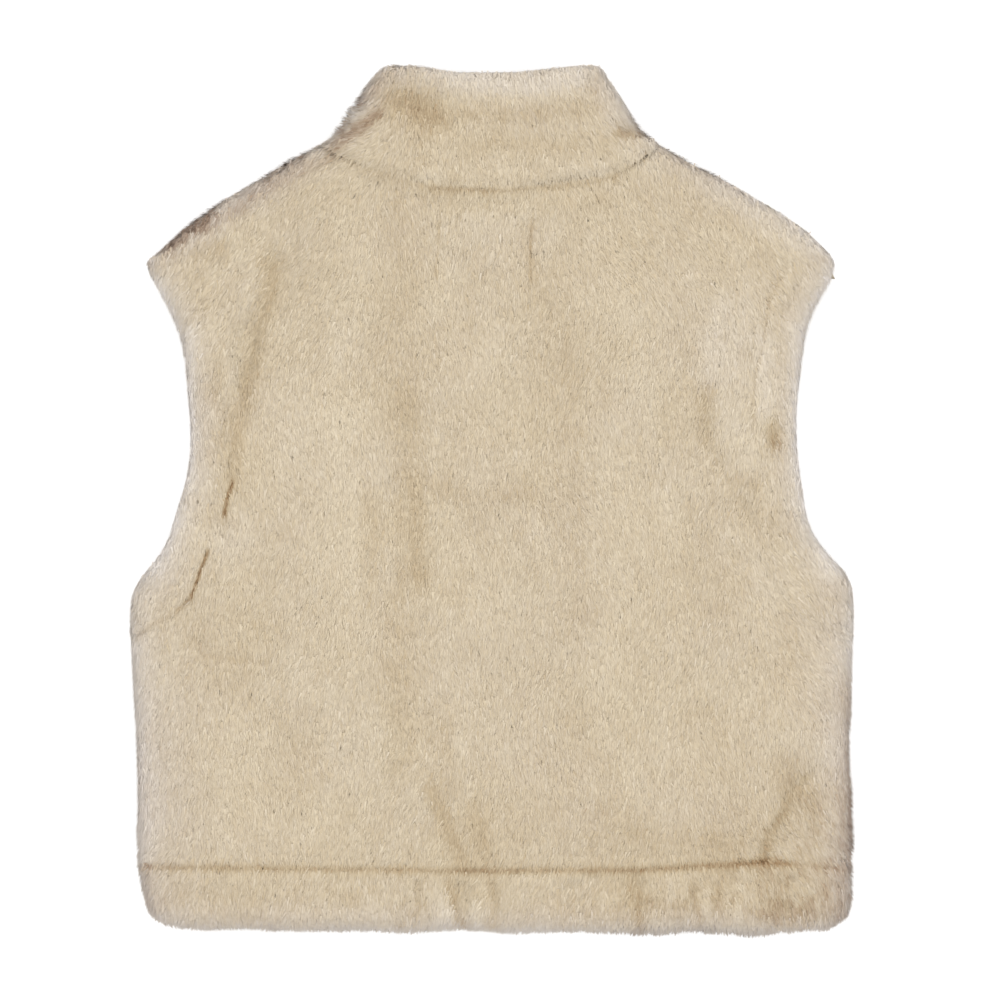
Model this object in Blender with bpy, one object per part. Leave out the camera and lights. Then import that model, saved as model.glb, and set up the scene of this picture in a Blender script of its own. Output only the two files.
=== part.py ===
"""A sleeveless plush vest with a stand collar, lying flat on its front with its back upwards.

All sizes below are in millimetres: across is measured to the wearer's right from the centre line,
and up is measured from the lowest point of the hem towards the collar.
The solids reach as far as the tips of the pile do.
"""

import math

import bpy
import numpy as np

# The thickness of the layers
MIDDLE = 12.0  # height of the plane where the back lies on the fronts
SLACK = 0.15  # half of the gap that each seam leaves
RIM = 1.0  # least thickness, at a rolled edge
BACK_PILE = 11.9
BAND_PILE = 13.0
COLLAR_PILE = 15.4
HEM_PILE = 13.9
UNDER_PILE = MIDDLE - SLACK  # the floor presses the fronts and the lower halves flat
ROLL = 15.0  # how far in from an edge the pile rounds over
DIP = 0.36  # share of the thickness that a seam pulls down
DIP_REACH = 9.0
LAP = 12.0  # how far in from a fold its two halves are one
STRAIGHT = 20.0  # how far from a fold the seams stay straight

# How the pile looks, as linear colour
FUR_COLOUR = (0.62, 0.53, 0.38, 1.0)
FUR_ROUGHNESS = 0.9
SHARP_DEGREES = 50.0

# The front, which is hidden and so is cut plainly
FRONT_NECK_DROP = 30.0
FRONT_COLLAR_DROP = 26.0

# Distances from an edge at which every piece has a row of points
NEAR = [0.0, 1.2, 3.5, 7.0, 12.0]
NEAR_FOLD = NEAR + [STRAIGHT]

# About how far apart the other points are
SIDE_STEP = 18.0
SEAM_STEP = 14.0
SHOULDER_STEP = 16.0

# Where the rows of a strip lie across its width, as shares
BAND_ROWS = np.array([0.0, 0.04, 0.1, 0.2, 0.34, 0.5, 0.66, 0.8, 0.9, 0.96, 1.0])
COLLAR_ROWS = np.array([0.0, 0.02, 0.05, 0.1, 0.18, 0.3, 0.43, 0.56, 0.69, 0.79, 0.87, 0.93, 0.97, 1.0])
HEM_ROWS = np.array([0.0, 0.03, 0.08, 0.16, 0.28, 0.42, 0.56, 0.7, 0.82, 0.91, 0.97, 1.0])

# The columns of the tables of edges
LEFT, RIGHT = 1, 2
SIDES = (LEFT, RIGHT)
SIDE_NAMES = {LEFT: "left", RIGHT: "right"}

# The side edge from the hem seam to the underarm: up, left, right
SIDE = [
    (52.5, -269.0, 273.0),
    (72.0, -270.0, 273.5),
    (99.5, -269.0, 273.5),
    (127.0, -270.0, 272.0),
    (154.5, -270.5, 271.5),
    (172.5, -272.0, 273.0),
    (200.0, -273.5, 273.5),
    (227.0, -275.0, 274.5),
]

# The end of the armhole band on the side edge: up, left, right
UNDERARM = [
    (227.0, -275.0, 274.5),
    (241.0, -275.2, 275.0),
    (256.0, -274.5, 274.5),
]

# The armhole edge from the underarm to the shoulder tip: up, left, right
ARMHOLE = [
    (256.0, -274.5, 274.5),
    (264.0, -271.5, 273.5),
    (273.0, -266.0, 270.0),
    (282.0, -258.5, 263.0),
    (291.0, -251.5, 254.5),
    (303.0, -245.5, 245.5),
    (318.5, -241.0, 239.0),
    (336.5, -235.5, 236.5),
    (355.0, -231.0, 233.5),
    (382.5, -229.5, 231.5),
    (410.0, -231.5, 232.5),
    (437.0, -234.0, 236.0),
    (456.0, -238.0, 238.5),
    (473.5, -245.5, 244.5),
    (490.0, -254.0, 253.5),
    (502.0, -260.5, 259.5),
    (510.5, -263.0, 260.5),
]

# The shoulder edge from the tip to the armhole band's seam: up, left, right
SHOULDER_BAND = [
    (510.5, -263.0, 260.5),
    (517.5, -256.0, 257.0),
    (525.0, -247.5, 249.5),
    (533.5, -238.0, 241.0),
]

# The shoulder edge from the armhole band's seam to the neck: up, left, right
SHOULDER = [
    (533.5, -238.0, 241.0),
    (545.0, -223.5, 225.0),
    (556.0, -208.0, 207.0),
    (567.5, -188.5, 187.5),
    (577.0, -172.5, 171.0),
    (586.0, -157.5, 152.0),
    (595.0, -142.5, 136.0),
    (600.5, -131.0, 127.5),
]

# The seam that sets the armhole band on, from the underarm to the shoulder: up, left, right
BAND_SEAM = [
    (227.0, -275.0, 274.5),
    (235.5, -258.0, 256.5),
    (246.0, -239.0, 238.0),
    (258.5, -226.5, 224.5),
    (278.0, -218.0, 214.5),
    (302.0, -209.5, 207.5),
    (322.0, -203.0, 203.5),
    (344.0, -197.0, 201.5),
    (384.0, -193.5, 200.0),
    (410.0, -196.0, 201.5),
    (437.0, -202.0, 204.0),
    (460.0, -206.5, 207.5),
    (484.0, -214.5, 217.5),
    (508.0, -226.0, 229.5),
    (533.5, -238.0, 241.0),
]

# The side edge of the hem band from its lower corner to its seam: up, left, right
HEM_SIDE = [
    (11.5, -256.0, 268.0),
    (18.0, -261.5, 271.5),
    (26.5, -264.0, 273.5),
    (38.0, -266.5, 273.5),
    (52.5, -269.0, 273.0),
]

# The seam that sets the hem band on: across, up
HEM_SEAM = [
    (-269.0, 52.5),
    (-235.0, 51.5),
    (-150.0, 51.0),
    (-72.0, 49.0),
    (-30.0, 50.0),
    (8.0, 48.5),
    (60.0, 50.5),
    (120.0, 51.5),
    (175.0, 54.5),
    (212.0, 54.5),
    (245.0, 52.5),
    (273.0, 52.5),
]

# The hem's lower edge: across, up
HEM_EDGE = [
    (-256.0, 11.5),
    (-246.0, 7.0),
    (-225.0, 4.5),
    (-190.0, 5.0),
    (-150.0, 3.0),
    (-105.0, 4.0),
    (-60.0, 2.2),
    (-23.0, 3.8),
    (20.0, 1.6),
    (62.0, 3.2),
    (110.0, 1.6),
    (158.0, 3.6),
    (205.0, 1.6),
    (235.0, 3.4),
    (255.0, 4.6),
    (268.0, 11.5),
]

# The seam between the back and the collar: across, up
NECK_SEAM = [
    (-131.0, 600.5),
    (-120.0, 594.5),
    (-111.5, 589.5),
    (-98.0, 583.0),
    (-86.0, 578.5),
    (-72.0, 574.0),
    (-58.0, 570.5),
    (-42.0, 567.5),
    (-21.0, 566.0),
    (3.0, 565.5),
    (23.0, 566.0),
    (38.0, 568.0),
    (60.0, 572.0),
    (78.0, 574.5),
    (95.0, 579.0),
    (109.5, 586.0),
    (119.0, 593.0),
    (127.5, 600.5),
]

# The collar's fold at each side, from the neck to its upper corner: up, left, right
COLLAR_FOLD = [
    (600.5, -131.0, 127.5),
    (607.0, -122.0, 118.5),
    (614.0, -114.5, 112.0),
    (622.0, -109.0, 106.5),
    (631.5, -101.5, 101.5),
    (641.0, -98.5, 95.5),
    (649.0, -93.5, 89.5),
    (655.5, -87.5, 86.0),
]

# The collar's upper edge: across, up
COLLAR_EDGE = [
    (-87.5, 655.5),
    (-83.0, 659.0),
    (-72.0, 660.5),
    (-58.5, 661.0),
    (-47.0, 659.5),
    (-35.5, 657.0),
    (-22.0, 656.0),
    (0.0, 656.0),
    (22.0, 656.5),
    (38.0, 658.2),
    (52.0, 659.6),
    (66.0, 661.0),
    (76.0, 660.8),
    (83.0, 659.0),
    (86.0, 655.5),
]

# Soft valleys and ridges of the upper side, a ridge with a depth under nought.
# Each runs between two points and bows sideways: across, up, across, up, bow, half width, depth
FOLDS = [
    (-162.0, 506.0, -186.0, 452.0, 6.0, 22.0, 2.6),
    (-184.0, 458.0, -196.0, 396.0, -3.0, 16.0, 3.2),
    (-196.0, 388.0, -206.0, 318.0, 4.0, 13.0, 2.4),
    (-168.0, 452.0, -176.0, 390.0, 3.0, 15.0, -1.0),
    (-48.0, 386.0, -68.0, 330.0, 5.0, 30.0, 1.8),
    (-72.0, 322.0, -66.0, 246.0, -6.0, 34.0, 2.2),
    (158.0, 384.0, 168.0, 352.0, 3.0, 16.0, 2.6),
    (186.0, 330.0, 191.0, 318.0, 0.0, 13.0, 2.2),
    (212.0, 380.0, 215.0, 366.0, 0.0, 12.0, 2.6),
    (170.0, 468.0, 176.0, 420.0, -4.0, 20.0, -1.0),
    (198.0, 280.0, 230.0, 252.0, 4.0, 13.0, 2.0),
    (212.0, 262.0, 248.0, 226.0, -5.0, 14.0, 1.6),
    (250.0, 128.0, 226.0, 86.0, -5.0, 15.0, 3.2),
    (226.0, 84.0, 206.0, 58.0, 3.0, 13.0, 3.0),
    (256.0, 92.0, 244.0, 66.0, 3.0, 16.0, -1.6),
    (-222.0, 212.0, -160.0, 205.0, -3.0, 12.0, 1.0),
    (-92.0, 150.0, -100.0, 96.0, 4.0, 26.0, 1.2),
    (70.0, 172.0, 52.0, 100.0, -6.0, 30.0, 1.1),
    (18.0, 470.0, 6.0, 390.0, 7.0, 30.0, 0.9),
    (-42.0, 632.0, -18.0, 629.0, 2.0, 16.0, 1.6),
    (14.0, 640.0, 62.0, 638.0, -2.0, 12.0, 1.2),
    (103.0, 612.0, 109.0, 606.0, 0.0, 8.0, 2.0),
    (-96.0, 628.0, -90.0, 610.0, 2.0, 12.0, 1.6),
    (-204.0, 36.0, -200.0, 14.0, 1.0, 10.0, 1.6),
    (-132.0, 40.0, -136.0, 12.0, -1.0, 9.0, 1.4),
    (-58.5, 46.0, -60.0, 16.0, 1.0, 9.0, 2.4),
    (-23.5, 48.0, -22.5, 8.0, -1.0, 8.0, 3.4),
    (2.0, 44.0, 4.0, 14.0, 1.0, 8.0, 2.2),
    (62.0, 42.0, 63.0, 16.0, -1.0, 9.0, 2.2),
    (112.0, 46.0, 115.0, 20.0, 2.0, 10.0, 2.0),
    (158.0, 44.0, 156.0, 14.0, -1.0, 9.0, 2.4),
    (226.0, 46.0, 238.0, 14.0, -3.0, 13.0, 3.2),
    (252.0, 36.0, 254.0, 20.0, 1.0, 12.0, -1.4),
]

# Shallow troughs of the under side, which the floor has pressed nearly flat
UNDER_FOLDS = [
    (-186.0, 430.0, -206.0, 330.0, 5.0, 13.0, 1.6),
    (196.0, 400.0, 214.0, 320.0, -4.0, 12.0, 1.4),
    (-118.0, 200.0, -96.0, 110.0, 6.0, 14.0, 1.2),
    (132.0, 250.0, 112.0, 150.0, -5.0, 12.0, 1.1),
    (-150.0, 44.0, -146.0, 16.0, 1.0, 9.0, 1.4),
    (-62.0, 42.0, -66.0, 12.0, -1.0, 8.0, 1.2),
    (84.0, 46.0, 88.0, 14.0, 1.0, 9.0, 1.5),
    (186.0, 44.0, 182.0, 18.0, -1.0, 8.0, 1.3),
]

# Long low waves of the upper side: length across, length up, start, height
WAVES = [
    (168.0, 310.0, 0.7, 0.55),
    (121.0, -214.0, 2.1, 0.40),
    (96.0, 143.0, 4.0, 0.32),
    (233.0, -97.0, 5.2, 0.30),
]


def smooth(rows):
    """A dense smooth line through the rows of a table."""
    knots = np.array(rows, float)
    at = np.concatenate([[0.0], np.cumsum(np.linalg.norm(np.diff(knots, axis=0), axis=1))])
    slope = np.gradient(knots, at, axis=0)
    line = []
    for i in range(len(knots) - 1):
        span = at[i + 1] - at[i]
        t = np.linspace(0.0, 1.0, 24)[:, None]
        line.append(
            knots[i] * (2 * t**3 - 3 * t**2 + 1)
            + slope[i] * span * (t**3 - 2 * t**2 + t)
            + knots[i + 1] * (3 * t**2 - 2 * t**3)
            + slope[i + 1] * span * (t**3 - t**2)
        )
    line = np.concatenate(line)
    keep = np.concatenate([[True], np.linalg.norm(np.diff(line, axis=0), axis=1) > 1e-9])
    return line[keep]


def along(line):
    """The distance of each point from the start of a line."""
    return np.concatenate([[0.0], np.cumsum(np.linalg.norm(np.diff(line, axis=0), axis=1))])


def at_distances(line, distances):
    """Points of a line at the given distances from its start."""
    run = along(line)
    return np.stack([np.interp(distances, run, line[:, k]) for k in range(2)], axis=1)


def marks(length, step, near_start, near_end):
    """Distances along a line, evenly spaced between the closer ones near its ends."""
    first = [d for d in near_start]
    last = [length - d for d in reversed(near_end)]
    count = max(1, round((last[0] - first[-1]) / step))
    between = np.linspace(first[-1], last[0], count + 1)[1:-1]
    return np.array(first + list(between) + last)


def one_side(table, side):
    """A left or right edge from a table of up, left, right."""
    return smooth([(row[side], row[0]) for row in table])


def at_shares(line, shares):
    """Points of a line at shares of its width across."""
    across = line[0, 0] + np.asarray(shares) * (line[-1, 0] - line[0, 0])
    return np.stack([across, np.interp(across, line[:, 0], line[:, 1])], axis=1)


def shares_across(points):
    """Where points lie across the width between the first and the last."""
    return (points[:, 0] - points[0, 0]) / (points[-1, 0] - points[0, 0])


def inset(loop):
    """A closed line moved inwards by half of a seam's gap."""
    before = np.roll(loop, 1, axis=0)
    after = np.roll(loop, -1, axis=0)
    turn = loop[:, 0] @ after[:, 1] - loop[:, 1] @ after[:, 0]
    way = 1.0 if turn > 0 else -1.0
    a = loop - before
    b = after - loop
    a /= np.linalg.norm(a, axis=1)[:, None]
    b /= np.linalg.norm(b, axis=1)[:, None]
    normal_a = np.stack([-a[:, 1], a[:, 0]], axis=1) * way
    normal_b = np.stack([-b[:, 1], b[:, 0]], axis=1) * way
    both = normal_a + normal_b
    both /= np.maximum(np.linalg.norm(both, axis=1), 1e-9)[:, None]
    stretch = 1.0 / np.maximum((both * normal_a).sum(axis=1), 0.35)
    return loop + both * (SLACK * stretch)[:, None]


def patch(bottom, top, left, right):
    """A grid of plan points between four edges, each seam edge moved in by its half of the gap."""
    columns = len(bottom)
    rows = len(left)
    loop = np.concatenate([bottom[:-1], right[:-1], top[:0:-1], left[:0:-1]])
    loop = inset(loop)
    ends = np.cumsum([0, columns - 1, rows - 1, columns - 1, rows - 1])
    loop = np.concatenate([loop, loop[:1]])
    bottom = loop[ends[0] : ends[1] + 1]
    right = loop[ends[1] : ends[2] + 1]
    top = loop[ends[2] : ends[3] + 1][::-1]
    left = loop[ends[3] : ends[4] + 1][::-1]
    u_low = along(bottom) / along(bottom)[-1]
    u_high = along(top) / along(top)[-1]
    v_left = along(left) / along(left)[-1]
    v_right = along(right) / along(right)[-1]
    middle_v = (v_left + v_right)[:, None] / 2
    u = (1 - middle_v) * u_low[None] + middle_v * u_high[None]
    v = (1 - u) * v_left[:, None] + u * v_right[:, None]
    u = u[..., None]
    v = v[..., None]
    corners = (
        (1 - u) * (1 - v) * bottom[0]
        + u * (1 - v) * bottom[-1]
        + (1 - u) * v * top[0]
        + u * v * top[-1]
    )
    across = (1 - u) * left[:, None] + u * right[:, None]
    upward = (1 - v) * bottom[None] + v * top[None]
    return across + upward - corners


def distance(points, lines):
    """The least distance of each point from any of the lines."""
    flat = points.reshape(-1, 2)
    least = np.full(len(flat), 1e9)
    for line in lines:
        start = line[:-1]
        step = line[1:] - start
        size = np.maximum((step**2).sum(axis=1), 1e-12)
        to = flat[:, None] - start[None]
        share = np.clip((to * step).sum(axis=2) / size, 0.0, 1.0)
        gap = np.linalg.norm(to - share[..., None] * step, axis=2)
        least = np.minimum(least, gap.min(axis=1))
    return least.reshape(points.shape[:-1])


def rounded(gap, reach):
    """A quarter ellipse that rises from nought at an edge to one at its reach."""
    return np.sqrt(1.0 - (1.0 - np.clip(gap / reach, 0.0, 1.0)) ** 2)


def fold_line(row):
    """The bowed line of one row of a table of folds."""
    start = np.array(row[0:2])
    end = np.array(row[2:4])
    t = np.linspace(0.0, 1.0, 9)[:, None]
    aside = np.array([start[1] - end[1], end[0] - start[0]])
    aside /= np.linalg.norm(aside)
    return start + t * (end - start) + aside * row[4] * np.sin(math.pi * t)


def folded_depth(points, table):
    """How far the folds of a table pull the surface in."""
    depth = np.zeros(points.shape[:-1])
    for row in table:
        gap = distance(points, [fold_line(row)]) / row[5]
        depth += row[6] * np.clip(1.0 - gap**2, 0.0, None) ** 2
    return depth


def waves(points):
    """The long low waves of the upper side."""
    height = np.zeros(points.shape[:-1])
    for across, upward, start, size in WAVES:
        turn = points[..., 0] / across + points[..., 1] / upward
        height += size * np.sin(2 * math.pi * turn + start)
    return height


def pile(points, thickness, rolled, sewn, under):
    """The height of the pile's tips over the inner face of a piece."""
    shape = rounded(distance(points, rolled), ROLL)
    if sewn:
        shape = shape * (1.0 - DIP * (1.0 - rounded(distance(points, sewn), DIP_REACH)))
    height = thickness - RIM
    if under:
        height = height - folded_depth(points, UNDER_FOLDS)
    else:
        height = height - folded_depth(points, FOLDS) + waves(points)
    return RIM + height * shape


def skin(points, height):
    """Plan points with a height, as points in space."""
    return np.concatenate([points, np.broadcast_to(height, points.shape[:-1])[..., None]], axis=2)


def border(rows, columns):
    """The numbers of a grid's outermost points, in order round it."""
    edge = list(range(columns - 1))
    edge += [r * columns + columns - 1 for r in range(rows - 1)]
    edge += [(rows - 1) * columns + c for c in range(columns - 1, 0, -1)]
    edge += [r * columns for r in range(rows - 1, 0, -1)]
    return edge


def faces_out(points, faces):
    """The faces, all turned round if they point into the solid."""
    triangles = np.array([(f[0], f[k], f[k + 1]) for f in faces for k in (1, 2)])
    corner = points[triangles]
    volume = (corner[:, 0] * np.cross(corner[:, 1], corner[:, 2])).sum()
    if volume > 0:
        return faces
    return [tuple(reversed(f)) for f in faces]


def wall(outer, inner):
    """One closed wall between two grids of points, as points and faces."""
    rows, columns = outer.shape[:2]
    points = np.concatenate([outer.reshape(-1, 3), inner.reshape(-1, 3)])
    half = rows * columns
    faces = []
    for r in range(rows - 1):
        for c in range(columns - 1):
            a = r * columns + c
            b = a + columns
            faces.append((a, a + 1, b + 1, b))
            faces.append((half + b, half + b + 1, half + a + 1, half + a))
    edge = border(rows, columns)
    for a, b in zip(edge, edge[1:] + edge[:1]):
        faces.append((half + a, half + b, b, a))
    return points, faces_out(points, faces)


def flat_wall(plan, thickness, rolled, sewn, under):
    """A panel that lies on one side of the middle plane."""
    height = pile(plan, thickness, rolled, sewn, under)
    way = -1.0 if under else 1.0
    return wall(skin(plan, MIDDLE + way * (SLACK + height)), skin(plan, MIDDLE + way * SLACK))


def lapped(plan):
    """Plan columns moved in from a fold, so that the slit between its halves starts past the lap."""
    moved = plan.copy()
    for r, row in enumerate(plan):
        run = along(row)
        near = run < STRAIGHT
        moved[r] = at_distances(row, np.where(near, LAP + run * (1.0 - LAP / STRAIGHT), run))
    return moved


def half_strip(plan, thickness, rolled, sewn, under):
    """The outer and inner grids of one half of a folded strip, from its fold onwards."""
    height = pile(plan, thickness, rolled, sewn, under)
    way = -1.0 if under else 1.0
    outer = skin(plan, MIDDLE + way * (SLACK + height))
    inner = skin(lapped(plan), MIDDLE + way * SLACK)
    outer[:, 0, 2] = MIDDLE
    inner[:, 0, 2] = MIDDLE
    return outer, inner


def joined(first, second):
    """Two halves of a strip put together at their shared fold."""
    return [np.concatenate([a[:, :0:-1], b], axis=1) for a, b in zip(first, second)]


def subdivided(line):
    """A line with a point added halfway along each step."""
    halves = (line[:-1] + line[1:]) / 2
    return np.insert(line, np.arange(1, len(line)), halves, axis=0)


def with_near(line):
    """A line with the near distances added on its straight first step."""
    return at_distances(line, np.sort(np.concatenate([along(line), NEAR[1:]])))


def lowered(line, drop):
    """A line of the back lowered for the front, straight near its fold and lowest at the centre."""
    run = along(line)
    share = np.clip((run - STRAIGHT) / (run[-1] - STRAIGHT), 0.0, 1.0)
    lower = line.copy()
    lower[:, 1] -= drop * np.sin(share * math.pi / 2) ** 1.5
    lower[-1, 0] = 0.0
    return lower


def across_both(halves):
    """The left and right halves of a line that both run to the centre, as one line."""
    return np.concatenate([halves[LEFT], halves[RIGHT][-2::-1]])


def side_edges(side):
    """The edges and seams of one side, each with the points that its two pieces share."""
    body = marks(172.0, SIDE_STEP, NEAR, NEAR[:1]) / 172.0
    arm = marks(340.0, SEAM_STEP, NEAR_FOLD, NEAR_FOLD) / 340.0
    shoulder = marks(120.0, SHOULDER_STEP, NEAR, NEAR[:1]) / 120.0
    shares = {
        "side": (SIDE, body),
        "seam": (BAND_SEAM, arm),
        "armhole": (ARMHOLE, arm),
        "tip": (SHOULDER_BAND, BAND_ROWS),
        "underarm": (UNDERARM, 1.0 - BAND_ROWS[::-1]),
        "shoulder": (SHOULDER, shoulder),
        "collar": (COLLAR_FOLD, COLLAR_ROWS),
        "hem": (HEM_SIDE, HEM_ROWS),
    }
    edges = {}
    for name, (table, share) in shares.items():
        line = one_side(table, side)
        edges[name] = at_distances(line, share * along(line)[-1])
    edges["body"] = np.concatenate([edges["side"][:-1], edges["seam"]])
    return edges


def neck_halves():
    """The back neck seam in two halves, each from its neck point to the centre line."""
    line = smooth(NECK_SEAM)
    length = along(line)[-1]
    centre = np.interp(0.0, line[:, 0], along(line))
    halves = {}
    for side, reach in ((LEFT, centre), (RIGHT, length - centre)):
        from_fold = marks(reach, SEAM_STEP, [0.0, STRAIGHT], [0.0])
        halves[side] = at_distances(line if side == LEFT else line[::-1], from_fold)
    return halves


def front_edges(side, edges, neck, hem_line):
    """The four edges of one front: hem seam, top, side and centre."""
    neck_front = lowered(neck[side], FRONT_NECK_DROP)
    last, centre_top = neck_front[-2:]
    step = np.linalg.norm(centre_top - last)
    closer = [centre_top + (last - centre_top) * d / step for d in NEAR[:0:-1]]
    neck_front = np.concatenate([neck_front[:-1], closer, [centre_top]])
    top = np.concatenate([edges["shoulder"][:-1], neck_front])
    half = hem_line[-1, 0] if side == RIGHT else hem_line[0, 0]
    share = shares_across(top)
    share[-len(NEAR) :] = 1.0 - np.array(NEAR[::-1]) / abs(half)
    across = half * (1.0 - share)
    low = np.stack([across, np.interp(across, hem_line[:, 0], hem_line[:, 1])], axis=1)
    tall = centre_top[1] - low[-1, 1]
    rise = along(edges["body"]) / along(edges["body"])[-1]
    rise[: len(NEAR)] = np.array(NEAR) / tall
    rise[-len(NEAR) :] = 1.0 - np.array(NEAR[::-1]) / tall
    centre = low[-1] + rise[:, None] * (centre_top - low[-1])
    return low, top, neck_front, centre


def collar_halves(side, neck, neck_front, edge_line):
    """One side of the collar's lower and upper edges, on the back and on the front."""
    centre = np.interp(0.0, edge_line[:, 0], along(edge_line))
    reach = centre if side == LEFT else along(edge_line)[-1] - centre
    start = edge_line if side == LEFT else edge_line[::-1]
    found = []
    for seam in (neck, neck_front):
        low = with_near(seam)
        share = along(low) / along(low)[-1]
        fold = share[len(NEAR)]
        past_fold = (share - fold) / (1.0 - fold)
        distances = STRAIGHT + (reach - STRAIGHT) * past_fold
        distances[: len(NEAR_FOLD)] = NEAR_FOLD
        found.append((low, at_distances(start, distances)))
    (low_back, high_back), (low_front, high_front) = found
    return low_back, high_back, low_front, lowered(high_front, FRONT_COLLAR_DROP)


def back_panel(edges, hem_seam, neck_back):
    """The whole back, between the hem band, the armhole bands and the collar."""
    left, right = edges[LEFT], edges[RIGHT]
    top = np.concatenate([left["shoulder"][:-1], neck_back, right["shoulder"][-2::-1]])
    plan = patch(hem_seam, top, left["body"], right["body"])
    rolled = [left["side"], right["side"], left["shoulder"], right["shoulder"]]
    sewn = [hem_seam, neck_back, left["seam"], right["seam"]]
    return flat_wall(plan, BACK_PILE, rolled, sewn, False)


def front_panel(edges, low, top, neck_front, centre):
    """One front, which lies under the back."""
    plan = patch(low, top, edges["body"], centre)
    rolled = [edges["side"], edges["shoulder"]]
    sewn = [low, neck_front, edges["seam"], centre]
    return flat_wall(plan, UNDER_PILE, rolled, sewn, True)


def armhole_band(edges):
    """One strip round an armhole, folded over the shoulder tip, its ends at the underarm."""
    plan = patch(
        edges["armhole"][::-1], edges["seam"][::-1], edges["tip"], edges["underarm"][::-1]
    )
    rolled = [edges["armhole"], edges["underarm"], edges["tip"]]
    upper = half_strip(plan, BAND_PILE, rolled, [edges["seam"]], False)
    lower = half_strip(plan, UNDER_PILE, rolled, [edges["seam"]], True)
    return wall(*joined(lower, upper))


def collar_strip(edges, halves):
    """The collar, one strip folded at both sides, its ends meeting at the centre front."""
    low = across_both({side: halves[side][0] for side in SIDES})
    high = across_both({side: halves[side][1] for side in SIDES})
    plan = patch(low, high, edges[LEFT]["collar"], edges[RIGHT]["collar"])
    rolled = [high, edges[LEFT]["collar"], edges[RIGHT]["collar"]]
    middle = len(halves[LEFT][0]) - 1
    from_left = half_strip(plan, COLLAR_PILE, rolled, [low], False)
    from_right = half_strip(plan[:, ::-1], COLLAR_PILE, rolled, [low], False)
    upper = [
        np.concatenate([a[:, :middle], b[:, ::-1][:, middle:]], axis=1)
        for a, b in zip(from_left, from_right)
    ]
    grids = upper
    for side in SIDES:
        low_front, high_front = halves[side][2:]
        centre = low_front[-1] + COLLAR_ROWS[:, None] * (high_front[-1] - low_front[-1])
        plan = patch(low_front, high_front, edges[side]["collar"], centre)
        rolled = [high_front, edges[side]["collar"]]
        lower = half_strip(plan, UNDER_PILE, rolled, [low_front, centre], True)
        if side == LEFT:
            grids = joined(lower, grids)
        else:
            grids = [np.concatenate([a, b[:, 1:]], axis=1) for a, b in zip(grids, lower)]
    return wall(*grids)


def hem_back(edges, hem_seam, hem_edge):
    """The back length of the hem band."""
    seam = subdivided(hem_seam)
    low = at_shares(hem_edge, shares_across(seam))
    plan = patch(low, seam, edges[LEFT]["hem"], edges[RIGHT]["hem"])
    rolled = [low, edges[LEFT]["hem"], edges[RIGHT]["hem"]]
    return flat_wall(plan, HEM_PILE, rolled, [seam], False)


def hem_front(side, edges, seam, hem_edge):
    """The length of the hem band under one front."""
    corner = hem_edge[-1 if side == RIGHT else 0, 0]
    across = corner * (1.0 - shares_across(seam))
    low = np.stack([across, np.interp(across, hem_edge[:, 0], hem_edge[:, 1])], axis=1)
    centre = low[-1] + HEM_ROWS[:, None] * (seam[-1] - low[-1])
    plan = patch(low, seam, edges["hem"], centre)
    return flat_wall(plan, UNDER_PILE, [low, edges["hem"]], [seam, centre], True)


def vest_pieces():
    """Every piece of the vest by name, as points in millimetres and faces."""
    edges = {side: side_edges(side) for side in SIDES}
    neck = neck_halves()
    neck_back = across_both(neck)
    hem_line = smooth(HEM_SEAM)
    hem_edge = smooth(HEM_EDGE)
    edge_line = smooth(COLLAR_EDGE)
    shoulders = [edges[side]["shoulder"] for side in SIDES]
    top = np.concatenate([shoulders[0][:-1], neck_back, shoulders[1][-2::-1]])
    hem_seam = at_shares(hem_line, shares_across(top))
    pieces = {
        "back": back_panel(edges, hem_seam, neck_back),
        "hem_band_back": hem_back(edges, hem_seam, hem_edge),
    }
    halves = {}
    for side in SIDES:
        name = SIDE_NAMES[side]
        low, front_top, neck_front, centre = front_edges(side, edges[side], neck, hem_line)
        pieces["front_" + name] = front_panel(edges[side], low, front_top, neck_front, centre)
        pieces["hem_band_front_" + name] = hem_front(side, edges[side], low, hem_edge)
        pieces["armhole_band_" + name] = armhole_band(edges[side])
        halves[side] = collar_halves(side, neck[side], neck_front, edge_line)
    pieces["collar"] = collar_strip(edges, halves)
    return pieces


def fur_material(name):
    """A matt pale beige."""
    fur = bpy.data.materials.new(name + "_fur")
    fur.use_nodes = True
    shader = fur.node_tree.nodes["Principled BSDF"]
    shader.inputs["Base Color"].default_value = FUR_COLOUR
    shader.inputs["Roughness"].default_value = FUR_ROUGHNESS
    shader.inputs["Metallic"].default_value = 0.0
    return fur


def build():
    """Clears the scene, then makes one object for each piece, centred over the origin."""
    for thing in list(bpy.data.objects):
        bpy.data.objects.remove(thing, do_unlink=True)
    pieces = vest_pieces()
    everything = np.concatenate([points for points, _ in pieces.values()])
    origin = (everything.min(axis=0) + everything.max(axis=0)) / 2
    origin[2] = everything[:, 2].min()
    for name, (points, faces) in pieces.items():
        mesh = bpy.data.meshes.new(name)
        mesh.from_pydata(((points - origin) / 1000.0).tolist(), [], faces)
        mesh.shade_smooth()
        mesh.set_sharp_from_angle(angle=math.radians(SHARP_DEGREES))
        mesh.materials.append(fur_material(name))
        thing = bpy.data.objects.new(name, mesh)
        bpy.context.scene.collection.objects.link(thing)


build()
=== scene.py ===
"""The looks of a sleeveless plush vest with a stand collar, which lies flat on its front.

Every piece of the vest is a thin backing cloth under a pile of short strands, in tufts that follow
the nap. The backing lies inside its piece's solid, and the tips of the pile reach its surface.
Sizes are in millimetres until a mesh is made. The tables count as the cut does: across to the right
of the centre line, as seen from above, and up from the lowest point of the hem towards the collar.
"""

import math
from types import SimpleNamespace

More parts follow.
